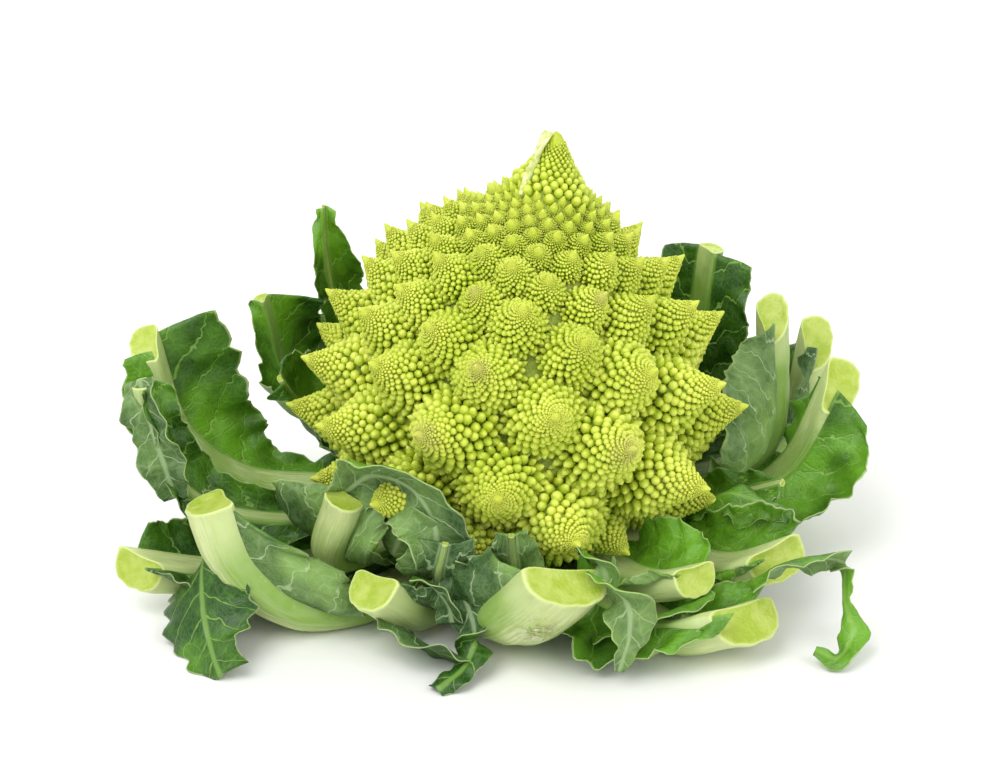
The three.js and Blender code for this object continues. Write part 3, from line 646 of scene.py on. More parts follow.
def lay_floret_cones(shape, curve, place, stain, rng):
    """Adds the cones of florets. A large cone's radius has a spiral grain, a cosine of the angle and
    of the logarithm of the distance from the tip."""
    line, distance, _ = curve
    share, room = distance[-1], place[-1]
    for small, sides, rings in CONE_GRADES:
        chosen = np.nonzero((room < CONE_COARSE) == small)[0]
        if len(chosen) == 0:
            continue
        at = np.concatenate([[0.004], np.linspace(0.03, 0.55, rings - 3) ** 1.2, [0.75, 1.0]]) * share
        r, h = (np.interp(at, distance, line[:, k]) for k in (0, 1))
        turns = np.arange(sides) * 2 * math.pi / sides
        wave = np.cos(GRAIN_ARMS * turns[None] + GRAIN_TWIST * np.log(at[:, None]))
        r = r[:, None] * (1 + GRAIN_DEPTH * wave * (not small)) * CONE_SHARE
        cone = np.concatenate([polar(r, turns, h[:, None]).reshape(-1, 3), [[0, 0, line[0, 1]]]])
        points = bent(cone[None], *(values[chosen, None] for values in place))
        each = points.shape[1]
        band = grid_faces(rings, sides, wrap=True)[:, ::-1]
        fan = fan_faces(np.arange(sides), each - 1)
        under = ((rings - 1) * sides + np.arange(sides))[::-1][None]
        bare = np.clip(SMALLEST_BUD / BUD_GROWTH / room[chosen, None] / share, 0.02, 1)
        from_tip = np.concatenate([np.repeat(at / share, sides), [0]])[None]
        # Painted shade on the cones: a low height value, towards the dark crevice colour, where buds cover
        # them, rising to the bare tip.
        shade = 0.12 + 0.6 * (1 - smoothstep(from_tip, bare, bare * 2.2))
        near = np.broadcast_to(1 - smoothstep(from_tip, 0.05, 0.6), shade.shape)
        mark = stain[chosen, None] * (1 - smoothstep(from_tip, 0.12, 0.34))
        shape.add(points, repeated((band, fan, under), len(chosen), each), height=shade, tip=near,
                  stain=mark, tone=np.repeat(rng.uniform(0.3, 0.7, len(chosen)), each))


def turned(profile, sides, unrest, seed):
    """A closed body turned round the z axis: its radius at each height, roughened by slow unrest."""
    turns = np.arange(sides) * 2 * math.pi / sides
    profile = np.asarray(profile, float)
    inner = profile[1:-1]
    rough = 1 + unrest * wander(turns[None] / (2 * math.pi) + inner[:, 1:] * 0.02, seed, 5)
    ring = polar(inner[:, :1] * rough, turns, inner[:, 1:]).reshape(-1, 3)
    points = np.concatenate([ring, [[0, 0, profile[0, 1]], [0, 0, profile[-1, 1]]]])
    count = len(ring)
    band = grid_faces(len(inner), sides, wrap=True)
    top = fan_faces(np.arange(sides), count)[:, [1, 0, 2]]
    low = fan_faces(count - sides + np.arange(sides), count + 1)
    return points, [band, np.concatenate([top, low])]


# ---------------------------------------------------------------- leaves

def rib_section():
    """The rib across: a rounded outer side with low ridges, a power of a sine, and a slightly hollow
    inner one, a parabola, as sideways and outward shares of its half width and depth."""
    half = RIB_SIDES // 2
    turn = np.linspace(math.pi, 0, half, endpoint=False)
    ridges = 1 + 0.025 * np.cos(11 * turn) * np.sin(turn)
    outer = np.stack([np.cos(turn), 0.18 + 0.82 * np.sin(turn) ** 0.6 * ridges], -1)
    x = np.cos(np.linspace(0, math.pi, RIB_SIDES - half, endpoint=False))
    inner = np.stack([x, 0.12 * (1 - x**2) + 0.18 * np.abs(x) ** 6], -1)
    return np.concatenate([outer, inner])


def add_rib(shape, line, half_width, depth, seed, slant=None, scar=None, **extra):
    """Adds a rib: its section carried along the line, with a flat cut face at the far end whose
    middle is a little sunk. slant is the direction the cut face looks in: the last rings are sheared
    along the rib until they lie in that plane. scar is the middle of a scratched patch, whose
    strength falls off as a bell curve."""
    tangent, outward, right = rib_frames(line)
    section = rib_section()
    sides, rows = len(section), len(line)
    along = length_along(line)
    swell = 1 + RIB_SWELLING * wander(along / 60, seed, 1.5)
    rings = (line[:, None]
             + right[:, None] * (section[None, :, :1] * half_width[:, None, None])
             + outward[:, None] * (section[None, :, 1:] * (depth * swell)[:, None, None]))
    facing = tangent[-1]
    if slant is not None:
        facing = unit(np.array(slant, float))
        reach = -((rings[-1] - rings[-1].mean(0)) @ facing) / (tangent[-1] @ facing)
        share = smoothstep(along, along[-1] - SHEAR_LENGTH, along[-1])
        reach = SHEAR_LIMIT * np.tanh(reach / SHEAR_LIMIT)
        rings = rings + (reach[None] * share[:, None])[..., None] * tangent[-1]
    rings[..., 2] = np.maximum(rings[..., 2], RIB_CLEARANCE)
    centre = rings[-1].mean(0)
    shrink, lift = np.array(CUT_RINGS).T
    cut = centre + (rings[-1] - centre)[None] * shrink[:, None, None]
    cut = cut + facing * lift[:, None, None]
    points = np.concatenate([rings, cut]).reshape(-1, 3)
    points = np.concatenate([points, [centre - facing * CUT_SUNK]])
    band = grid_faces(rows, sides, wrap=True)
    face = grid_faces(len(cut) + 1, sides, wrap=True) + (rows - 1) * sides
    pole = fan_faces((rows + len(cut) - 1) * sides + np.arange(sides), len(points) - 1)
    foot = np.arange(sides)[::-1][None]
    near = np.zeros(len(points))
    if scar is not None:
        near = np.exp(-(((points - scar) / RIB_SCAR) ** 2).sum(1))
    each_ring = {
        "along": np.concatenate([along, np.full(len(cut), along[-1])]),
        "ring": np.concatenate([np.ones(rows), shrink]),
        "near_cut": np.concatenate([smoothstep(along, along[-1] - PALE_LENGTH, along[-1]),
                                    np.ones(len(cut))]),
    }
    middle = {"along": along[-1], "ring": 0, "near_cut": 1}
    values = {key: np.append(np.repeat(each_ring[key], sides), middle[key]) for key in middle}
    across = np.append(np.tile(section[:, 0], rows + len(cut)), 0)
    back = np.append(np.tile(np.clip(section[:, 1] * 2 - 0.3, 0, 1), rows + len(cut)), 0.5)
    shape.closed(points, [band, foot, face, pole], [0, 0, 2, 2], across=across, back=back, scar=near,
                 **values, **extra)


def skin_values(along, across, vein, edge):
    """Values for every point of a grid, each given for its rows, its columns or both."""
    grids = np.broadcast_arrays(along, across, vein, edge)
    return dict(zip(("along", "across", "vein", "edge"), grids))


def blade_surface(root, rim, tangent, side, look, seed):
    """One blade as a grid. Along each row it starts at the rib and runs to the margin, bowed outwards
    like a parabola, its last part rolled over by a growing angle; waves across the rows grow towards
    the margin, the margin is notched, and the skin is puckered up between its veins."""
    rows, columns = BLADE_STEPS
    u = np.linspace(0, 1, rows)[:, None]
    v = np.linspace(0, 1, columns)[None, :] ** 0.9
    across = rim - root
    width = np.maximum(np.linalg.norm(across, axis=1, keepdims=True), 1.0)
    across = across / width
    normal = unit(np.cross(across, tangent) * side)
    along = length_along((root + rim) / 2)[:, None]
    teeth = np.abs(((along / look["tooth"] + 0.35 * wander(u, seed + 1, 2)) % 1) - 0.5) * 2
    fine = np.abs(((along / 3.7 + 0.6 * wander(u, seed + 2, 3)) % 1) - 0.5) * 2
    reach = width * (1 + look["tear"] * (teeth - 0.5) + 0.04 * (fine - 0.5)
                     + 0.08 * wander(u, seed + 3, 2))
    roll = BLADE_ROLL * smoothstep(v, 0.55, 1.0) * (0.7 + 0.5 * wander(u, seed + 4, 1.2))
    step = np.diff(v, axis=1, prepend=0)
    forth = np.cumsum(np.cos(roll) * step, axis=1)
    lift = 4 * look["bow"] * v * (1 - v) - np.cumsum(np.sin(roll) * step, axis=1)
    phase = (along - VEIN_SLANT * v * width) / VEIN_SPACING + 0.12 * wander(v + 0.3 * u, seed + 5, 1.5)
    pucker = 0.9 * (0.5 - 0.5 * np.cos(2 * math.pi * phase)) * np.sin(math.pi * np.clip(v, 0, 1)) ** 0.7
    wave = BLADE_WAVE * v**1.7 * wander(along / 42 + 0.12 * v, seed + 6, 1.0)
    frill = BLADE_FRILL * v**3 * wander(along / 16 + 0.1 * v, seed + 7, 1.0)
    out = lift * reach + wave + frill - pucker
    slide = BLADE_SLIDE * v**2 * wander(along / 30, seed + 8, 1.0)
    surface = (root[:, None] + across[:, None] * (forth * reach)[..., None]
               + normal[:, None] * out[..., None] + tangent[:, None] * slide[..., None])
    surface[..., 2] = np.maximum(surface[..., 2], BLADE_CLEARANCE)
    return surface, skin_values(along, v * width, phase, v)


def add_sheet(shape, surface, values, thick, flip, finish=1, **extra):
    """Adds a thin wall with its values on both skins, thinner towards its margin; flip says which
    skin is the inner one."""
    thickness = thick * (1 - 0.62 * smoothstep(values["edge"], 0.5, 1.0))
    points, faces, back = sheet(surface, thickness)
    back = 1 - back if flip else back
    doubled = {k: np.tile(v.ravel(), 2) for k, v in values.items()}
    shape.add(points, faces, [finish] * len(faces), back=back, **doubled, **extra)


def ribbon_surface(line, width, look, seed):
    """A loose lobe as a grid: a width carried across a line, turned about it by twist, cupped like a
    parabola and waved more towards both margins."""
    rows, columns = LOBE_STEPS
    u = np.linspace(0, 1, rows)
    centre = spline(line, u)
    _, outward, right = rib_frames(centre)
    twist = look.get("twist", (0, 0))
    twist = np.radians(np.interp(u, np.linspace(0, 1, len(twist)), twist))[:, None]
    side = right * np.cos(twist) + outward * np.sin(twist)
    normal = outward * np.cos(twist) - right * np.sin(twist)
    v = np.linspace(-1, 1, columns)[None, :]
    half = np.interp(u, np.linspace(0, 1, len(width)), width)[:, None] / 2
    along = length_along(centre)[:, None]
    tooth = np.abs(((along / LOBE_TOOTH + np.where(v > 0, 0.4, 0.0)) % 1) - 0.5) * 2
    reach = half * (1 + 0.16 * (tooth - 0.5) * np.abs(v) + 0.14 * wander(along / 40, seed, 1.0))
    unrest = np.where(v > 0, wander(along / 26, seed + 1, 1.0), wander(along / 26, seed + 2, 1.0))
    out = look.get("cup", 0.25) * half * v**2 + look.get("ruffle", 1.6) * np.abs(v) ** 1.5 * unrest
    surface = (centre[:, None] + side[:, None] * (v * reach)[..., None]
               + normal[:, None] * out[..., None])
    surface[..., 2] = np.maximum(surface[..., 2], LOBE_CLEARANCE)
    phase = (along - VEIN_SLANT * np.abs(v) * half) / LOBE_VEIN_SPACING
    return surface, skin_values(along, v * half, phase, np.abs(v))


def build_leaf(leaf, index, settings, materials):
    """One leaf: the rib, a blade on each side and its loose lobes, as one piece."""
    shape = Shape()
    rows = BLADE_STEPS[0]
    at = np.linspace(0, 1, rows)
    line = spline(leaf["rib"], at)
    tangent, outward, right = rib_frames(line)
    half_width = (leaf["width"][0] + (leaf["width"][1] - leaf["width"][0]) * at) / 2
    depth = leaf["depth"][0] + (leaf["depth"][1] - leaf["depth"][0]) * at
    seed = 100 + 17 * index
    add_rib(shape, line, half_width, depth, seed, leaf.get("cut"), leaf.get("scar"),
            green=leaf.get("green", RIB_GREEN))
    tone, thick = leaf["tone"], settings.thickness / MM
    for side, key in ((-1, "left"), (1, "right")):
        start = line[0] + right[0] * side * leaf["width"][0] * BLADE_START
        rim = spline([start, *leaf[key]], at)
        short = half_width + RIM_GUARD - side * ((rim - line) * right).sum(1)
        rim = rim + right * (side * np.maximum(short, 0) * smoothstep(at, 0.3, 0.7))[:, None]
        root = (line + right * (side * half_width * BLADE_ROOT[0])[:, None]
                + outward * (depth * BLADE_ROOT[1])[:, None])
        look = {**BLADE_LOOK, **leaf.get(key + "_look", {})}
        surface, values = blade_surface(root, rim, tangent, side, look, seed + 3 * side)
        add_sheet(shape, surface, values, thick, side < 0, tone=tone)
    for number, strip in enumerate(leaf.get("strips", ())):
        surface, values = ribbon_surface(strip["line"], strip["width"], strip, seed + 50 + number)
        add_sheet(shape, surface, values, thick, strip.get("flip", False), tone=tone)
    shape.piece("made_" + leaf["name"], materials, leaf["name"])


# ---------------------------------------------------------------- materials

class Recipe:
    """A material's nodes, made one call at a time. Each call gives the new node's output, and takes
    outputs or plain values; a colour without a fourth number is opaque. Scales are per metre."""

    def __init__(self, name):
        self.material = bpy.data.materials.new(name)
        self.material.use_nodes = True
        self.nodes, self.links = self.material.node_tree.nodes, self.material.node_tree.links
        self.shader = self.nodes["Principled BSDF"]

    def feed(self, socket, value):
        if isinstance(value, bpy.types.NodeSocket):
            self.links.new(value, socket)
        elif socket.type == "RGBA":
            socket.default_value = (*value[:3], 1.0)
        else:
            socket.default_value = value

    def node(self, kind, inputs, **options):
        """A node with its options set and its inputs fed, each by its name or its number."""
        node = self.nodes.new("ShaderNode" + kind)
        for key, value in options.items():
            setattr(node, key, value)
        for key, value in inputs.items():
            self.feed(node.inputs[key], value)
        return node

    def value(self, name):
        """An attribute of the mesh's points."""
        return self.node("Attribute", {}, attribute_name=name).outputs["Fac"]

    def place(self):
        """The place in the piece's own frame."""
        return self.node("TexCoord", {}).outputs["Object"]

    def math(self, kind, *inputs):
        return self.node("Math", dict(enumerate(inputs)), operation=kind).outputs[0]

    def ramp(self, value, low, high, to_low=0.0, to_high=1.0, smooth=True):
        """A value's range turned into another, by a smooth step or a straight line."""
        inputs = dict(enumerate((value, low, high, to_low, to_high)))
        kind = "SMOOTHSTEP" if smooth else "LINEAR"
        return self.node("MapRange", inputs, interpolation_type=kind).outputs[0]

    def blend(self, share, first, second):
        """The first colour at a share of 0, the second at 1."""
        node = self.node("Mix", {}, data_type="RGBA")
        for socket, value in zip([s for s in node.inputs if s.enabled], (share, first, second)):
            self.feed(socket, value)
        return [s for s in node.outputs if s.enabled][0]

    def join(self, *parts):
        return self.node("CombineXYZ", dict(enumerate(parts))).outputs[0]

    def noise(self, vector, scale, detail=3.0, rough=0.55):
        inputs = dict(Vector=vector, Scale=scale, Detail=detail, Roughness=rough)
        return self.node("TexNoise", inputs).outputs["Fac"]

    def cells(self, vector, scale, feature="F1", randomness=1.0):
        inputs = dict(Vector=vector, Scale=scale, Randomness=randomness)
        return self.node("TexVoronoi", inputs, feature=feature).outputs["Distance"]

    def bump(self, height, distance, strength, after=None):
        """A relief of that height in metres, over the one given as after."""
        inputs = dict(Height=height, Distance=distance, Strength=strength)
        if after is not None:
            inputs["Normal"] = after
        return self.node("Bump", inputs).outputs[0]

    def finish(self, colour, rough, normal=None):
        """The material, with its colour, roughness and relief."""
        self.feed(self.shader.inputs["Base Color"], colour)
        self.feed(self.shader.inputs["Roughness"], rough)
        if normal is not None:
            self.feed(self.shader.inputs["Normal"], normal)
        return self.material

    def flesh(self, share, depth, ways, bend=1.42):
        """Light goes into the flesh: a share of it, to a depth in metres, times ways in red, green
        and blue. bend is how strongly the surface bends it."""
        for key, value in (("Subsurface Weight", share), ("Subsurface Scale", depth),
                           ("Subsurface Radius", ways), ("IOR", bend)):
            self.feed(self.shader.inputs[key], value)


def rgb(red, green, blue):
    """A colour given as it is seen, 0 to 255, turned to linear light."""
    seen = np.array([red, green, blue]) / 255
    return np.where(seen <= 0.04045, seen / 12.92, ((seen + 0.055) / 1.055) ** 2.4).tolist()


def curd_finish(settings):
    """Florets: a painted highlight of bright yellow-green where buds stand up and painted shade of olive
    in the hollows between them, paler at the tips, with fine grain, slow drifts of tone and grey-brown stains
    on a few tips."""
    r = Recipe("romanesco_curd")
    place = r.place()
    drift = r.noise(place, 38, 3)
    grain = r.cells(place, 1350, "SMOOTH_F1", 0.8)
    fine = r.noise(place, 900, 2)
    height = r.value("height")
    lift = r.math("ADD", height, r.ramp(drift, 0.3, 0.7, -0.12, 0.12))
    # Painted shade and painted highlight: the height share runs from the dark crevice colour at each bud's
    # foot to the crest colour on its top.
    colour = r.blend(r.ramp(lift, 0.12, 0.62), settings.crevice_shade, settings.body)
    colour = r.blend(r.ramp(lift, 0.6, 1.05), colour, settings.crest_highlight)
    colour = r.blend(r.ramp(r.value("tip"), 0.2, 1.0, 0, 0.45), colour, rgb(222, 226, 92))
    colour = r.blend(r.ramp(r.value("tone"), 0.0, 1.0, 0, 0.22), colour, rgb(160, 196, 34))
    colour = r.blend(r.ramp(fine, 0.35, 0.7, 0, 0.2), colour, rgb(228, 232, 120))
    brown = r.math("MULTIPLY", r.value("stain"), r.ramp(r.noise(place, 420, 3), 0.35, 0.62, 0.25, 1))
    colour = r.blend(brown, colour, rgb(178, 168, 108))
    rough = r.ramp(fine, 0.3, 0.7, 0.36, 0.55)
    normal = r.bump(r.math("SUBTRACT", 1.0, grain), 0.0005, 0.55)
    normal = r.bump(fine, 0.0002, 0.4, normal)
    r.flesh(0.22, 0.0012, (0.9, 1.0, 0.3))
    return r.finish(colour, rough, normal)


def torn_finish():
    """Torn skin: dry and cream-white, with darker yellow-green fibres showing through."""
    r = Recipe("torn_skin")
    cloud = r.noise(r.place(), 420, 4)
    colour = r.blend(r.ramp(cloud, 0.4, 0.65), rgb(232, 234, 176), rgb(190, 204, 104))
    return r.finish(colour, 0.6, r.bump(cloud, 0.0006, 0.6))


def rib_finish(settings):
    """Ribs: pale green-white flesh, greener towards the blades, with long fine strands."""
    r = Recipe("romanesco_rib")
    place = r.place()
    along, across = r.value("along"), r.value("across")
    strand = r.noise(r.join(r.math("MULTIPLY", along, 0.03), r.math("MULTIPLY", across, 5.0), 0.0), 3.0, 4)
    cloud = r.noise(place, 55, 3)
    edge = r.ramp(r.math("ABSOLUTE", across), 0.45, 1.0)
    colour = r.blend(r.ramp(strand, 0.35, 0.65), settings.rib, rgb(178, 200, 110))
    colour = r.blend(r.ramp(cloud, 0.4, 0.7, 0, 0.6), colour, rgb(160, 192, 84))
    colour = r.blend(r.math("MULTIPLY", edge, 0.75), colour, rgb(116, 158, 56))
    speck = r.ramp(r.cells(place, 330), 0.12, 0.05, 0, 0.22)
    colour = r.blend(speck, colour, rgb(226, 230, 190))
    colour = r.blend(r.ramp(r.value("near_cut"), 0, 1, 0, 0.6), colour, rgb(222, 230, 168))
    torn = r.noise(place, 260, 4)
    worn = r.math("MULTIPLY", r.value("scar"), r.ramp(torn, 0.44, 0.5))
    colour = r.blend(worn, colour, r.blend(r.ramp(torn, 0.5, 0.58), rgb(146, 118, 72), rgb(238, 236, 214)))
    green = r.math("MULTIPLY", r.value("green"), r.ramp(cloud, 0.3, 0.6, 0.6, 1.0))
    colour = r.blend(green, colour, rgb(96, 142, 44))
    normal = r.bump(strand, 0.0009, 0.5)
    normal = r.bump(worn, 0.0012, 0.7, normal)
    normal = r.bump(r.noise(place, 700, 3), 0.0002, 0.35, normal)
    r.flesh(0.2, 0.0015, (0.8, 1.0, 0.4))
    return r.finish(colour, r.ramp(cloud, 0.3, 0.7, 0.34, 0.5), normal)


def cut_finish(settings):
    """Cut faces: moist lime flesh, a ring of strands, and a paler rind at the rim."""
    r = Recipe("romanesco_cut")
    place = r.place()
    ring = r.value("ring")
    cloud = r.noise(place, 190, 4)
    dots = r.cells(place, 900)
    colour = r.blend(r.ramp(cloud, 0.35, 0.65), settings.cut, rgb(184, 200, 96))
    strands = r.math("MULTIPLY", r.ramp(ring, 0.5, 0.78), r.ramp(dots, 0.35, 0.1, 0, 0.5))
    colour = r.blend(strands, colour, rgb(140, 164, 48))
    colour = r.blend(r.ramp(ring, 0.86, 0.97), colour, rgb(204, 216, 140))
    normal = r.bump(cloud, 0.0006, 0.5)
    normal = r.bump(dots, 0.0003, 0.4, normal)
    r.flesh(0.25, 0.0015, (0.8, 1.0, 0.4), 1.4)
    return r.finish(colour, r.ramp(cloud, 0.3, 0.7, 0.26, 0.42), normal)


def blade_finish(settings):
    """Blades: bright to dark green inside, grey-green outside, with pale branching veins, a fine
    network between them, a pale torn margin, slow drifts of tone and painted shade in the hollows of the
    crinkles."""
    r = Recipe("romanesco_blade")
    place = r.place()
    back, edge = r.value("back"), r.value("edge")
    along = r.math("MULTIPLY", r.value("along"), 0.001)
    across = r.math("MULTIPLY", r.value("across"), 0.001)
    bend = r.noise(place, 160, 2)
    flat = r.join(r.math("ADD", along, r.math("MULTIPLY", bend, 0.004)),
                  r.math("ADD", across, r.math("MULTIPLY", bend, 0.003)), 0.0)
    drift = r.noise(place, 26, 3)
    mottle = r.noise(place, 240, 4, 0.6)
    crinkle = r.noise(place, 75, 4, 0.65)
    tone = r.math("ADD", r.value("tone"), r.ramp(drift, 0.3, 0.7, -0.42, 0.42))
    inner = r.blend(r.ramp(tone, 0.1, 0.95), settings.inner_dark, settings.inner_bright)
    outer = r.blend(r.ramp(tone, 0.1, 0.95), settings.outer_dark, settings.outer_pale)
    colour = r.blend(back, inner, outer)
    light = r.blend(back, rgb(92, 148, 40), rgb(146, 176, 118))
    colour = r.blend(r.ramp(mottle, 0.4, 0.75, 0, 0.3), colour, light)
    # Painted shade: dark green where the crinkle relief is low, in its hollows.
    dark = r.blend(back, rgb(34, 74, 14), rgb(44, 82, 34))
    colour = r.blend(r.ramp(crinkle, 0.52, 0.3, 0, 0.5), colour, dark)
    wobble = r.math("ADD", r.value("vein"), r.ramp(bend, 0.2, 0.8, -0.16, 0.16))
    apart = r.math("PINGPONG", wobble, 0.5)
    thin = r.ramp(edge, 0.0, 1.0, 0.085, 0.02, smooth=False)
    side_vein = r.ramp(apart, 0.012, thin, 1.0, 0.0)
    middle = r.ramp(r.math("ABSOLUTE", across), 0.0003, 0.0014, 0.9, 0.0)
    patchy = r.ramp(drift, 0.35, 0.65, 0.1, 0.42)
    web = r.math("MULTIPLY", r.ramp(r.cells(flat, 150, "DISTANCE_TO_EDGE"), 0.0, 0.07, 1.0, 0.0), patchy)
    mesh = r.ramp(r.cells(flat, 620, "DISTANCE_TO_EDGE"), 0.0, 0.14, 0.16, 0.0)
    veins = r.math("MAXIMUM", r.math("MAXIMUM", side_vein, middle), r.math("MAXIMUM", web, mesh))
    shown = r.math("MULTIPLY", veins, r.ramp(back, 0, 1, 0.6, 0.62))
    colour = r.blend(shown, colour, r.blend(back, rgb(140, 182, 84), rgb(176, 200, 148)))
    margin = r.ramp(edge, 0.955, 1.0, 0, 0.65)
    colour = r.blend(margin, colour, rgb(178, 198, 132))
    relief = r.math("MULTIPLY", veins, r.ramp(back, 0, 1, -1.0, 1.0, smooth=False))
    normal = r.bump(relief, 0.0005, 0.6)
    normal = r.bump(mottle, 0.0004, 0.45, normal)
    normal = r.bump(crinkle, 0.0016, 0.55, normal)
    r.flesh(0.08, 0.001, (0.5, 1.0, 0.2))
    return r.finish(colour, r.ramp(back, 0, 1, 0.38, 0.58), normal)


def floor_finish(settings):
    """A plain pale floor with a trace of unevenness."""
    r = Recipe("pale_floor")
    cloud = r.noise(r.place(), 3, 2)
    colour = r.blend(r.ramp(cloud, 0.3, 0.7), settings.floor, [c * 0.985 for c in settings.floor])
    return r.finish(colour, 0.75)


# ---------------------------------------------------------------- settings

def colour_setting(name, description, seen):
    """A colour property, its default given as it is seen."""
    return FloatVectorProperty(name=name, description=description, subtype="COLOR", size=3,
                               min=0.0, max=1.0, default=rgb(*seen))


def length_setting(name, description, metres):
    """A length property."""
    return FloatProperty(name=name, description=description, default=metres, unit="LENGTH",
                         subtype="DISTANCE")


class CurdSettings(bpy.types.PropertyGroup):
    """Sizes and colours of the curd."""

    lean: length_setting("Lean", "How far the apex stands aside of the stalk", 0.011)
    hand: IntProperty(name="Hand", description="1 or -1: which way the spirals turn", default=1,
                      min=-1, max=1)
    turn: FloatProperty(name="Turn", description="Turn of the first floret about the stalk",
                        default=0.6, unit="ROTATION", subtype="ANGLE")
    seed: IntProperty(name="Seed", description="Seed of the florets' small unrest", default=7)
    # The crest colour is a painted highlight on the buds' raised tops, the crevice colour painted shade deep
    # between them.
    crest_highlight: colour_setting("Crest", "Colour of the buds' raised tops", (220, 228, 98))
    body: colour_setting("Body", "Colour of the buds' sides", (176, 193, 38))
    crevice_shade: colour_setting("Crevice", "Colour deep between the buds", (92, 116, 8))


class LeafSettings(bpy.types.PropertyGroup):
    """Sizes and colours of the leaves and the stalk."""

    thickness: length_setting("Thickness", "Thickness of a blade beside its rib", 0.0009)
    inner_dark: colour_setting("Inner, dark", "Darkest colour of the blades' inner side", (26, 68, 12))
    inner_bright: colour_setting("Inner, bright", "Brightest colour of the inner side", (106, 164, 34))
    outer_dark: colour_setting("Outer, dark", "Darkest colour of the blades' outer side", (40, 78, 26))
    outer_pale: colour_setting("Outer, pale", "Palest colour of the outer side", (126, 162, 80))
    rib: colour_setting("Rib", "Colour of the ribs' flesh", (224, 232, 180))
    cut: colour_setting("Cut", "Colour of the cut faces", (164, 186, 62))


class StageSettings(bpy.types.PropertyGroup):
    """The floor, the light and the camera."""

    floor: colour_setting("Floor", "Colour of the floor", (240, 240, 238))
    key: FloatProperty(name="Key light", description="Power of the large soft light", default=11.0,
                       unit="POWER")
    fill: FloatProperty(name="Fill light", description="Power of the fill light", default=5.0,
                        unit="POWER")
    back: FloatProperty(name="Back light", description="Power of the light behind", default=22.0,
                        unit="POWER")
    sky: FloatProperty(name="Sky", description="Strength of the light from all round", default=0.7)
    lens: FloatProperty(name="Lens", description="Focal length of the camera", default=82.0,
                        unit="CAMERA")


# ---------------------------------------------------------------- operators

class ROMANESCO_OT_stage(bpy.types.Operator):
    """Makes the floor, the soft lights and the camera"""

    bl_idname = "romanesco.stage"
    bl_label = "Make the stage"

    def execute(self, context):
        settings = context.scene.romanesco_stage
        mesh = bpy.data.meshes.new("floor")
        corners = [(x * FLOOR_HALF, y * FLOOR_HALF, 0) for x, y in ((-1, -1), (1, -1), (1, 1), (-1, 1))]
        mesh.from_pydata(corners, [], [(0, 1, 2, 3)])
        floor = bpy.data.objects.new("floor", mesh)
        mesh.materials.append(floor_finish(settings))
        context.collection.objects.link(floor)
        for name, (place, size) in LIGHTS.items():
            self.light(context, name, place, size, getattr(settings, name))
        world = bpy.data.worlds.new("pale room")
        world.use_nodes = True
        sky = world.node_tree.nodes["Background"]
        sky.inputs["Color"].default_value = (1, 1, 1, 1)
        sky.inputs["Strength"].default_value = settings.sky
        context.scene.world = world
        camera = bpy.data.objects.new("camera", bpy.data.cameras.new("camera"))
        camera.data.lens = settings.lens
        camera.data.sensor_width = SENSOR_WIDTH
        camera.data.clip_start = 0.01
        camera.location = CAMERA_PLACE
        camera.rotation_euler = (math.radians(CAMERA_TILT), 0, 0)
        context.collection.objects.link(camera)
        context.scene.camera = camera
        context.scene.view_settings.view_transform = "Standard"
        return {"FINISHED"}

    @staticmethod
    def light(context, name, place, size, power):
        """Adds a soft rectangular light, turned towards the middle of the head."""
        data = bpy.data.lights.new(name, "AREA")
        data.shape = "RECTANGLE"
        data.size, data.size_y = size
        data.energy = power
        lamp = bpy.data.objects.new(name, data)
        lamp.location = place
        aim = np.array(LIGHTS_AIM) - np.array(place)
        flat = math.hypot(aim[0], aim[1])
        lamp.rotation_euler = (math.atan2(flat, -aim[2]), 0, math.atan2(-aim[0], aim[1]))
        context.collection.objects.link(lamp)


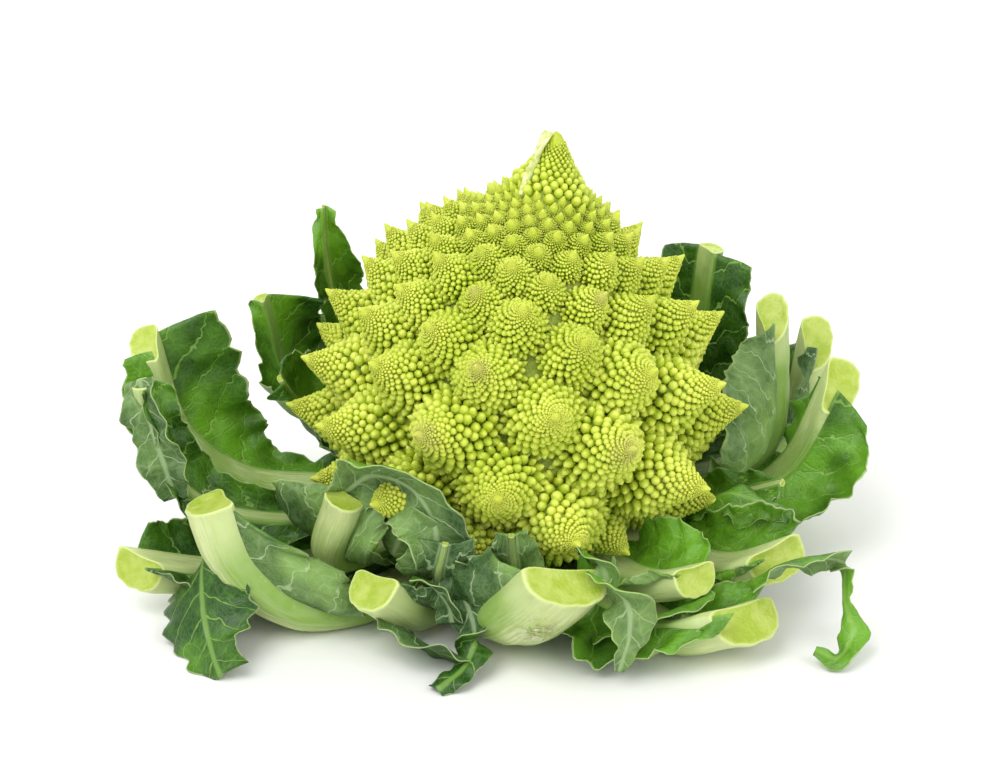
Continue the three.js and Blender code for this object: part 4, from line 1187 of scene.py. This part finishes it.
class ROMANESCO_OT_curd(bpy.types.Operator):
    """Makes the curd: its body and its tiers of florets, which together stand for the curd"""

    bl_idname = "romanesco.curd"
    bl_label = "Make the curd"

    def execute(self, context):
        settings = context.scene.romanesco_curd
        finish = curd_finish(settings)
        amount = settings.lean / MM
        line = profile_curve(BODY_PROFILE, BODY_STEPS)[0]
        points, faces = turned(line[::12], 72, BODY_UNREST, 3)
        # Painted shade on the body between the florets: its height value is low, towards the crevice colour,
        # and higher under the apex.
        near = 1 - smoothstep(-points[:, 2], -137, -128)
        body = Shape()
        body.closed(lean(points, amount), faces, height=0.3 + 0.3 * near, tip=0.4 * near)
        body.piece("curd_body", [finish], "curd")

        foot, axis, room, turn = place_florets(settings)
        foot = lean(foot, amount)
        florets = room > SMALLEST_FLORET
        stain = np.zeros(len(room))
        tips = foot + axis * room[:, None] * TIP_HEIGHT
        for spot in STAINS:
            away = np.linalg.norm(tips - spot, axis=1) + 99 * (room < STAINED_FROM)
            stain[np.argmin(away)] = STAIN
        self.apex(foot[~florets], axis[~florets], room[~florets], finish, settings)
        self.scar(line[:400], amount, settings)
        for number, tier in enumerate(self.tiers(np.nonzero(florets)[0], room)):
            parts = [values[tier] for values in (foot, axis, room, turn, stain)]
            self.tier(f"curd_tier_{number + 1}", *parts, finish, settings)
        return {"FINISHED"}

    @staticmethod
    def apex(foot, axis, room, finish, settings):
        """The smallest florets, each a single round bud."""
        count = len(room)
        rng = np.random.default_rng(settings.seed + 2)
        size = room * rng.uniform(0.9, 1.1, count)
        place = foot + rng.normal(0, 0.07, (count, 3)) * size[:, None]
        shape = Shape()
        lay_buds(shape, place + axis * size[:, None] * 0.06, axis, size, np.full(count, 0.3),
                 tip=np.full(count, 0.15), tone=rng.uniform(0, 1, count), stain=np.zeros(count))
        shape.piece("curd_apex", [finish], "curd")

    @staticmethod
    def scar(line, amount, settings):
        """A torn strip of pale skin down one flank of the apex, just over the body."""
        height, turn = np.array(SCAR_PATH).T
        turn = np.radians(turn)
        radius = np.interp(-height, -line[:, 1], line[:, 0]) + SCAR_OVER_BODY
        path = lean(polar(radius, turn, height), amount)
        surface, values = ribbon_surface(path, SCAR_WIDTH, SCAR_LOOK, settings.seed + 9)
        shape = Shape()
        add_sheet(shape, surface, values, SCAR_THICKNESS, False, finish=0)
        shape.piece("curd_scar", [torn_finish()], "curd")

    @staticmethod
    def tiers(chosen, room):
        """The chosen florets from the apex down, parted so that no tier has too many triangles."""
        tiers, weight = [[]], 0
        for number in chosen:
            if weight > TIER_TRIANGLES:
                tiers.append([])
                weight = 0
            tiers[-1].append(number)
            weight += FLORET_TRIANGLES + TRIANGLES_GROWTH * max(room[number] - GROWTH_FROM, 0)
        return tiers

    @staticmethod
    def tier(name, foot, axis, room, turn, stain, finish, settings):
        """One tier of florets, round or pointed by their spacing and sunk a little into the body."""
        foot = foot - axis * room[:, None] * 0.02
        share = smoothstep(room, ROUND_UNTIL, POINTED_FROM)
        shape = Shape()
        for profile, some in ((ROUND_PROFILE, share < 0.5), (FLORET_PROFILE, share >= 0.5)):
            if some.any():
                lay_florets(shape, profile, foot[some], axis[some], room[some], turn[some],
                            stain[some], settings)
        shape.piece(name, [finish], "curd")


class ROMANESCO_OT_stalk(bpy.types.Operator):
    """Makes the cut stalk"""

    bl_idname = "romanesco.stalk"
    bl_label = "Make the stalk"

    def execute(self, context):
        settings = context.scene.romanesco_leaf
        low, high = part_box("stalk")
        radius = (high[0] - low[0]) / 2 / MM
        top = high[2] / MM  # the profile starts over it, inside the curd, and ends in a chamfered cut
        profile = [(0, top + 4), (radius - 3, top + 3), (radius - 1, top - 4), (radius, top * 0.5),
                   (radius - 0.6, top * 0.2), (radius - 1.4, 2.2), (radius - 2.4, 0.5),
                   (radius - 3.4, 0.05), (radius - 5, 0.02), (radius * 0.5, 0.01), (0, 0)]
        shape = Shape()
        points, faces = turned(profile, 96, 0.012, 11)
        points[:, 2] = np.maximum(points[:, 2], 0)
        turn = np.arctan2(points[:, 1], points[:, 0])
        shape.closed(points, faces, along=points[:, 2], across=np.sin(turn * 2) * 0.5,
                     ring=np.hypot(points[:, 0], points[:, 1]) / radius, near_cut=0.3)
        shape.piece("made_stalk", [rib_finish(settings)], "stalk")
        return {"FINISHED"}


class ROMANESCO_OT_leaves(bpy.types.Operator):
    """Makes every leaf, each one piece: its rib, its two blades and its loose lobes"""

    bl_idname = "romanesco.leaves"
    bl_label = "Make the leaves"

    def execute(self, context):
        settings = context.scene.romanesco_leaf
        materials = [rib_finish(settings), blade_finish(settings), cut_finish(settings)]
        for index, leaf in enumerate(LEAVES):
            build_leaf(leaf, index, settings, materials)
        return {"FINISHED"}


class ROMANESCO_PT_panel(bpy.types.Panel):
    """The romanesco's steps and settings"""

    bl_idname = "ROMANESCO_PT_panel"
    bl_label = "Romanesco"
    bl_space_type = "VIEW_3D"
    bl_region_type = "UI"
    bl_category = "Romanesco"

    def draw(self, context):
        column = self.layout.column()
        for name in STEPS:
            column.operator("romanesco." + name)
        for name, kind in GROUPS.items():
            for key in kind.__annotations__:
                column.prop(getattr(context.scene, name), key)


STEPS = ("stage", "curd", "stalk", "leaves")
GROUPS = {"romanesco_curd": CurdSettings, "romanesco_leaf": LeafSettings, "romanesco_stage": StageSettings}
CLASSES = (
    *GROUPS.values(), ROMANESCO_OT_stage, ROMANESCO_OT_curd, ROMANESCO_OT_stalk, ROMANESCO_OT_leaves,
    ROMANESCO_PT_panel,
)


def register():
    for kind in CLASSES:
        bpy.utils.register_class(kind)
    for name, kind in GROUPS.items():
        setattr(bpy.types.Scene, name, PointerProperty(type=kind))


def unregister():
    for name in GROUPS:
        delattr(bpy.types.Scene, name)
    for kind in reversed(CLASSES):
        bpy.utils.unregister_class(kind)


def main():
    """Registers the add-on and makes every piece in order."""
    register()
    for name in STEPS:
        getattr(bpy.ops.romanesco, name)()


if __name__ == "__main__":
    main()
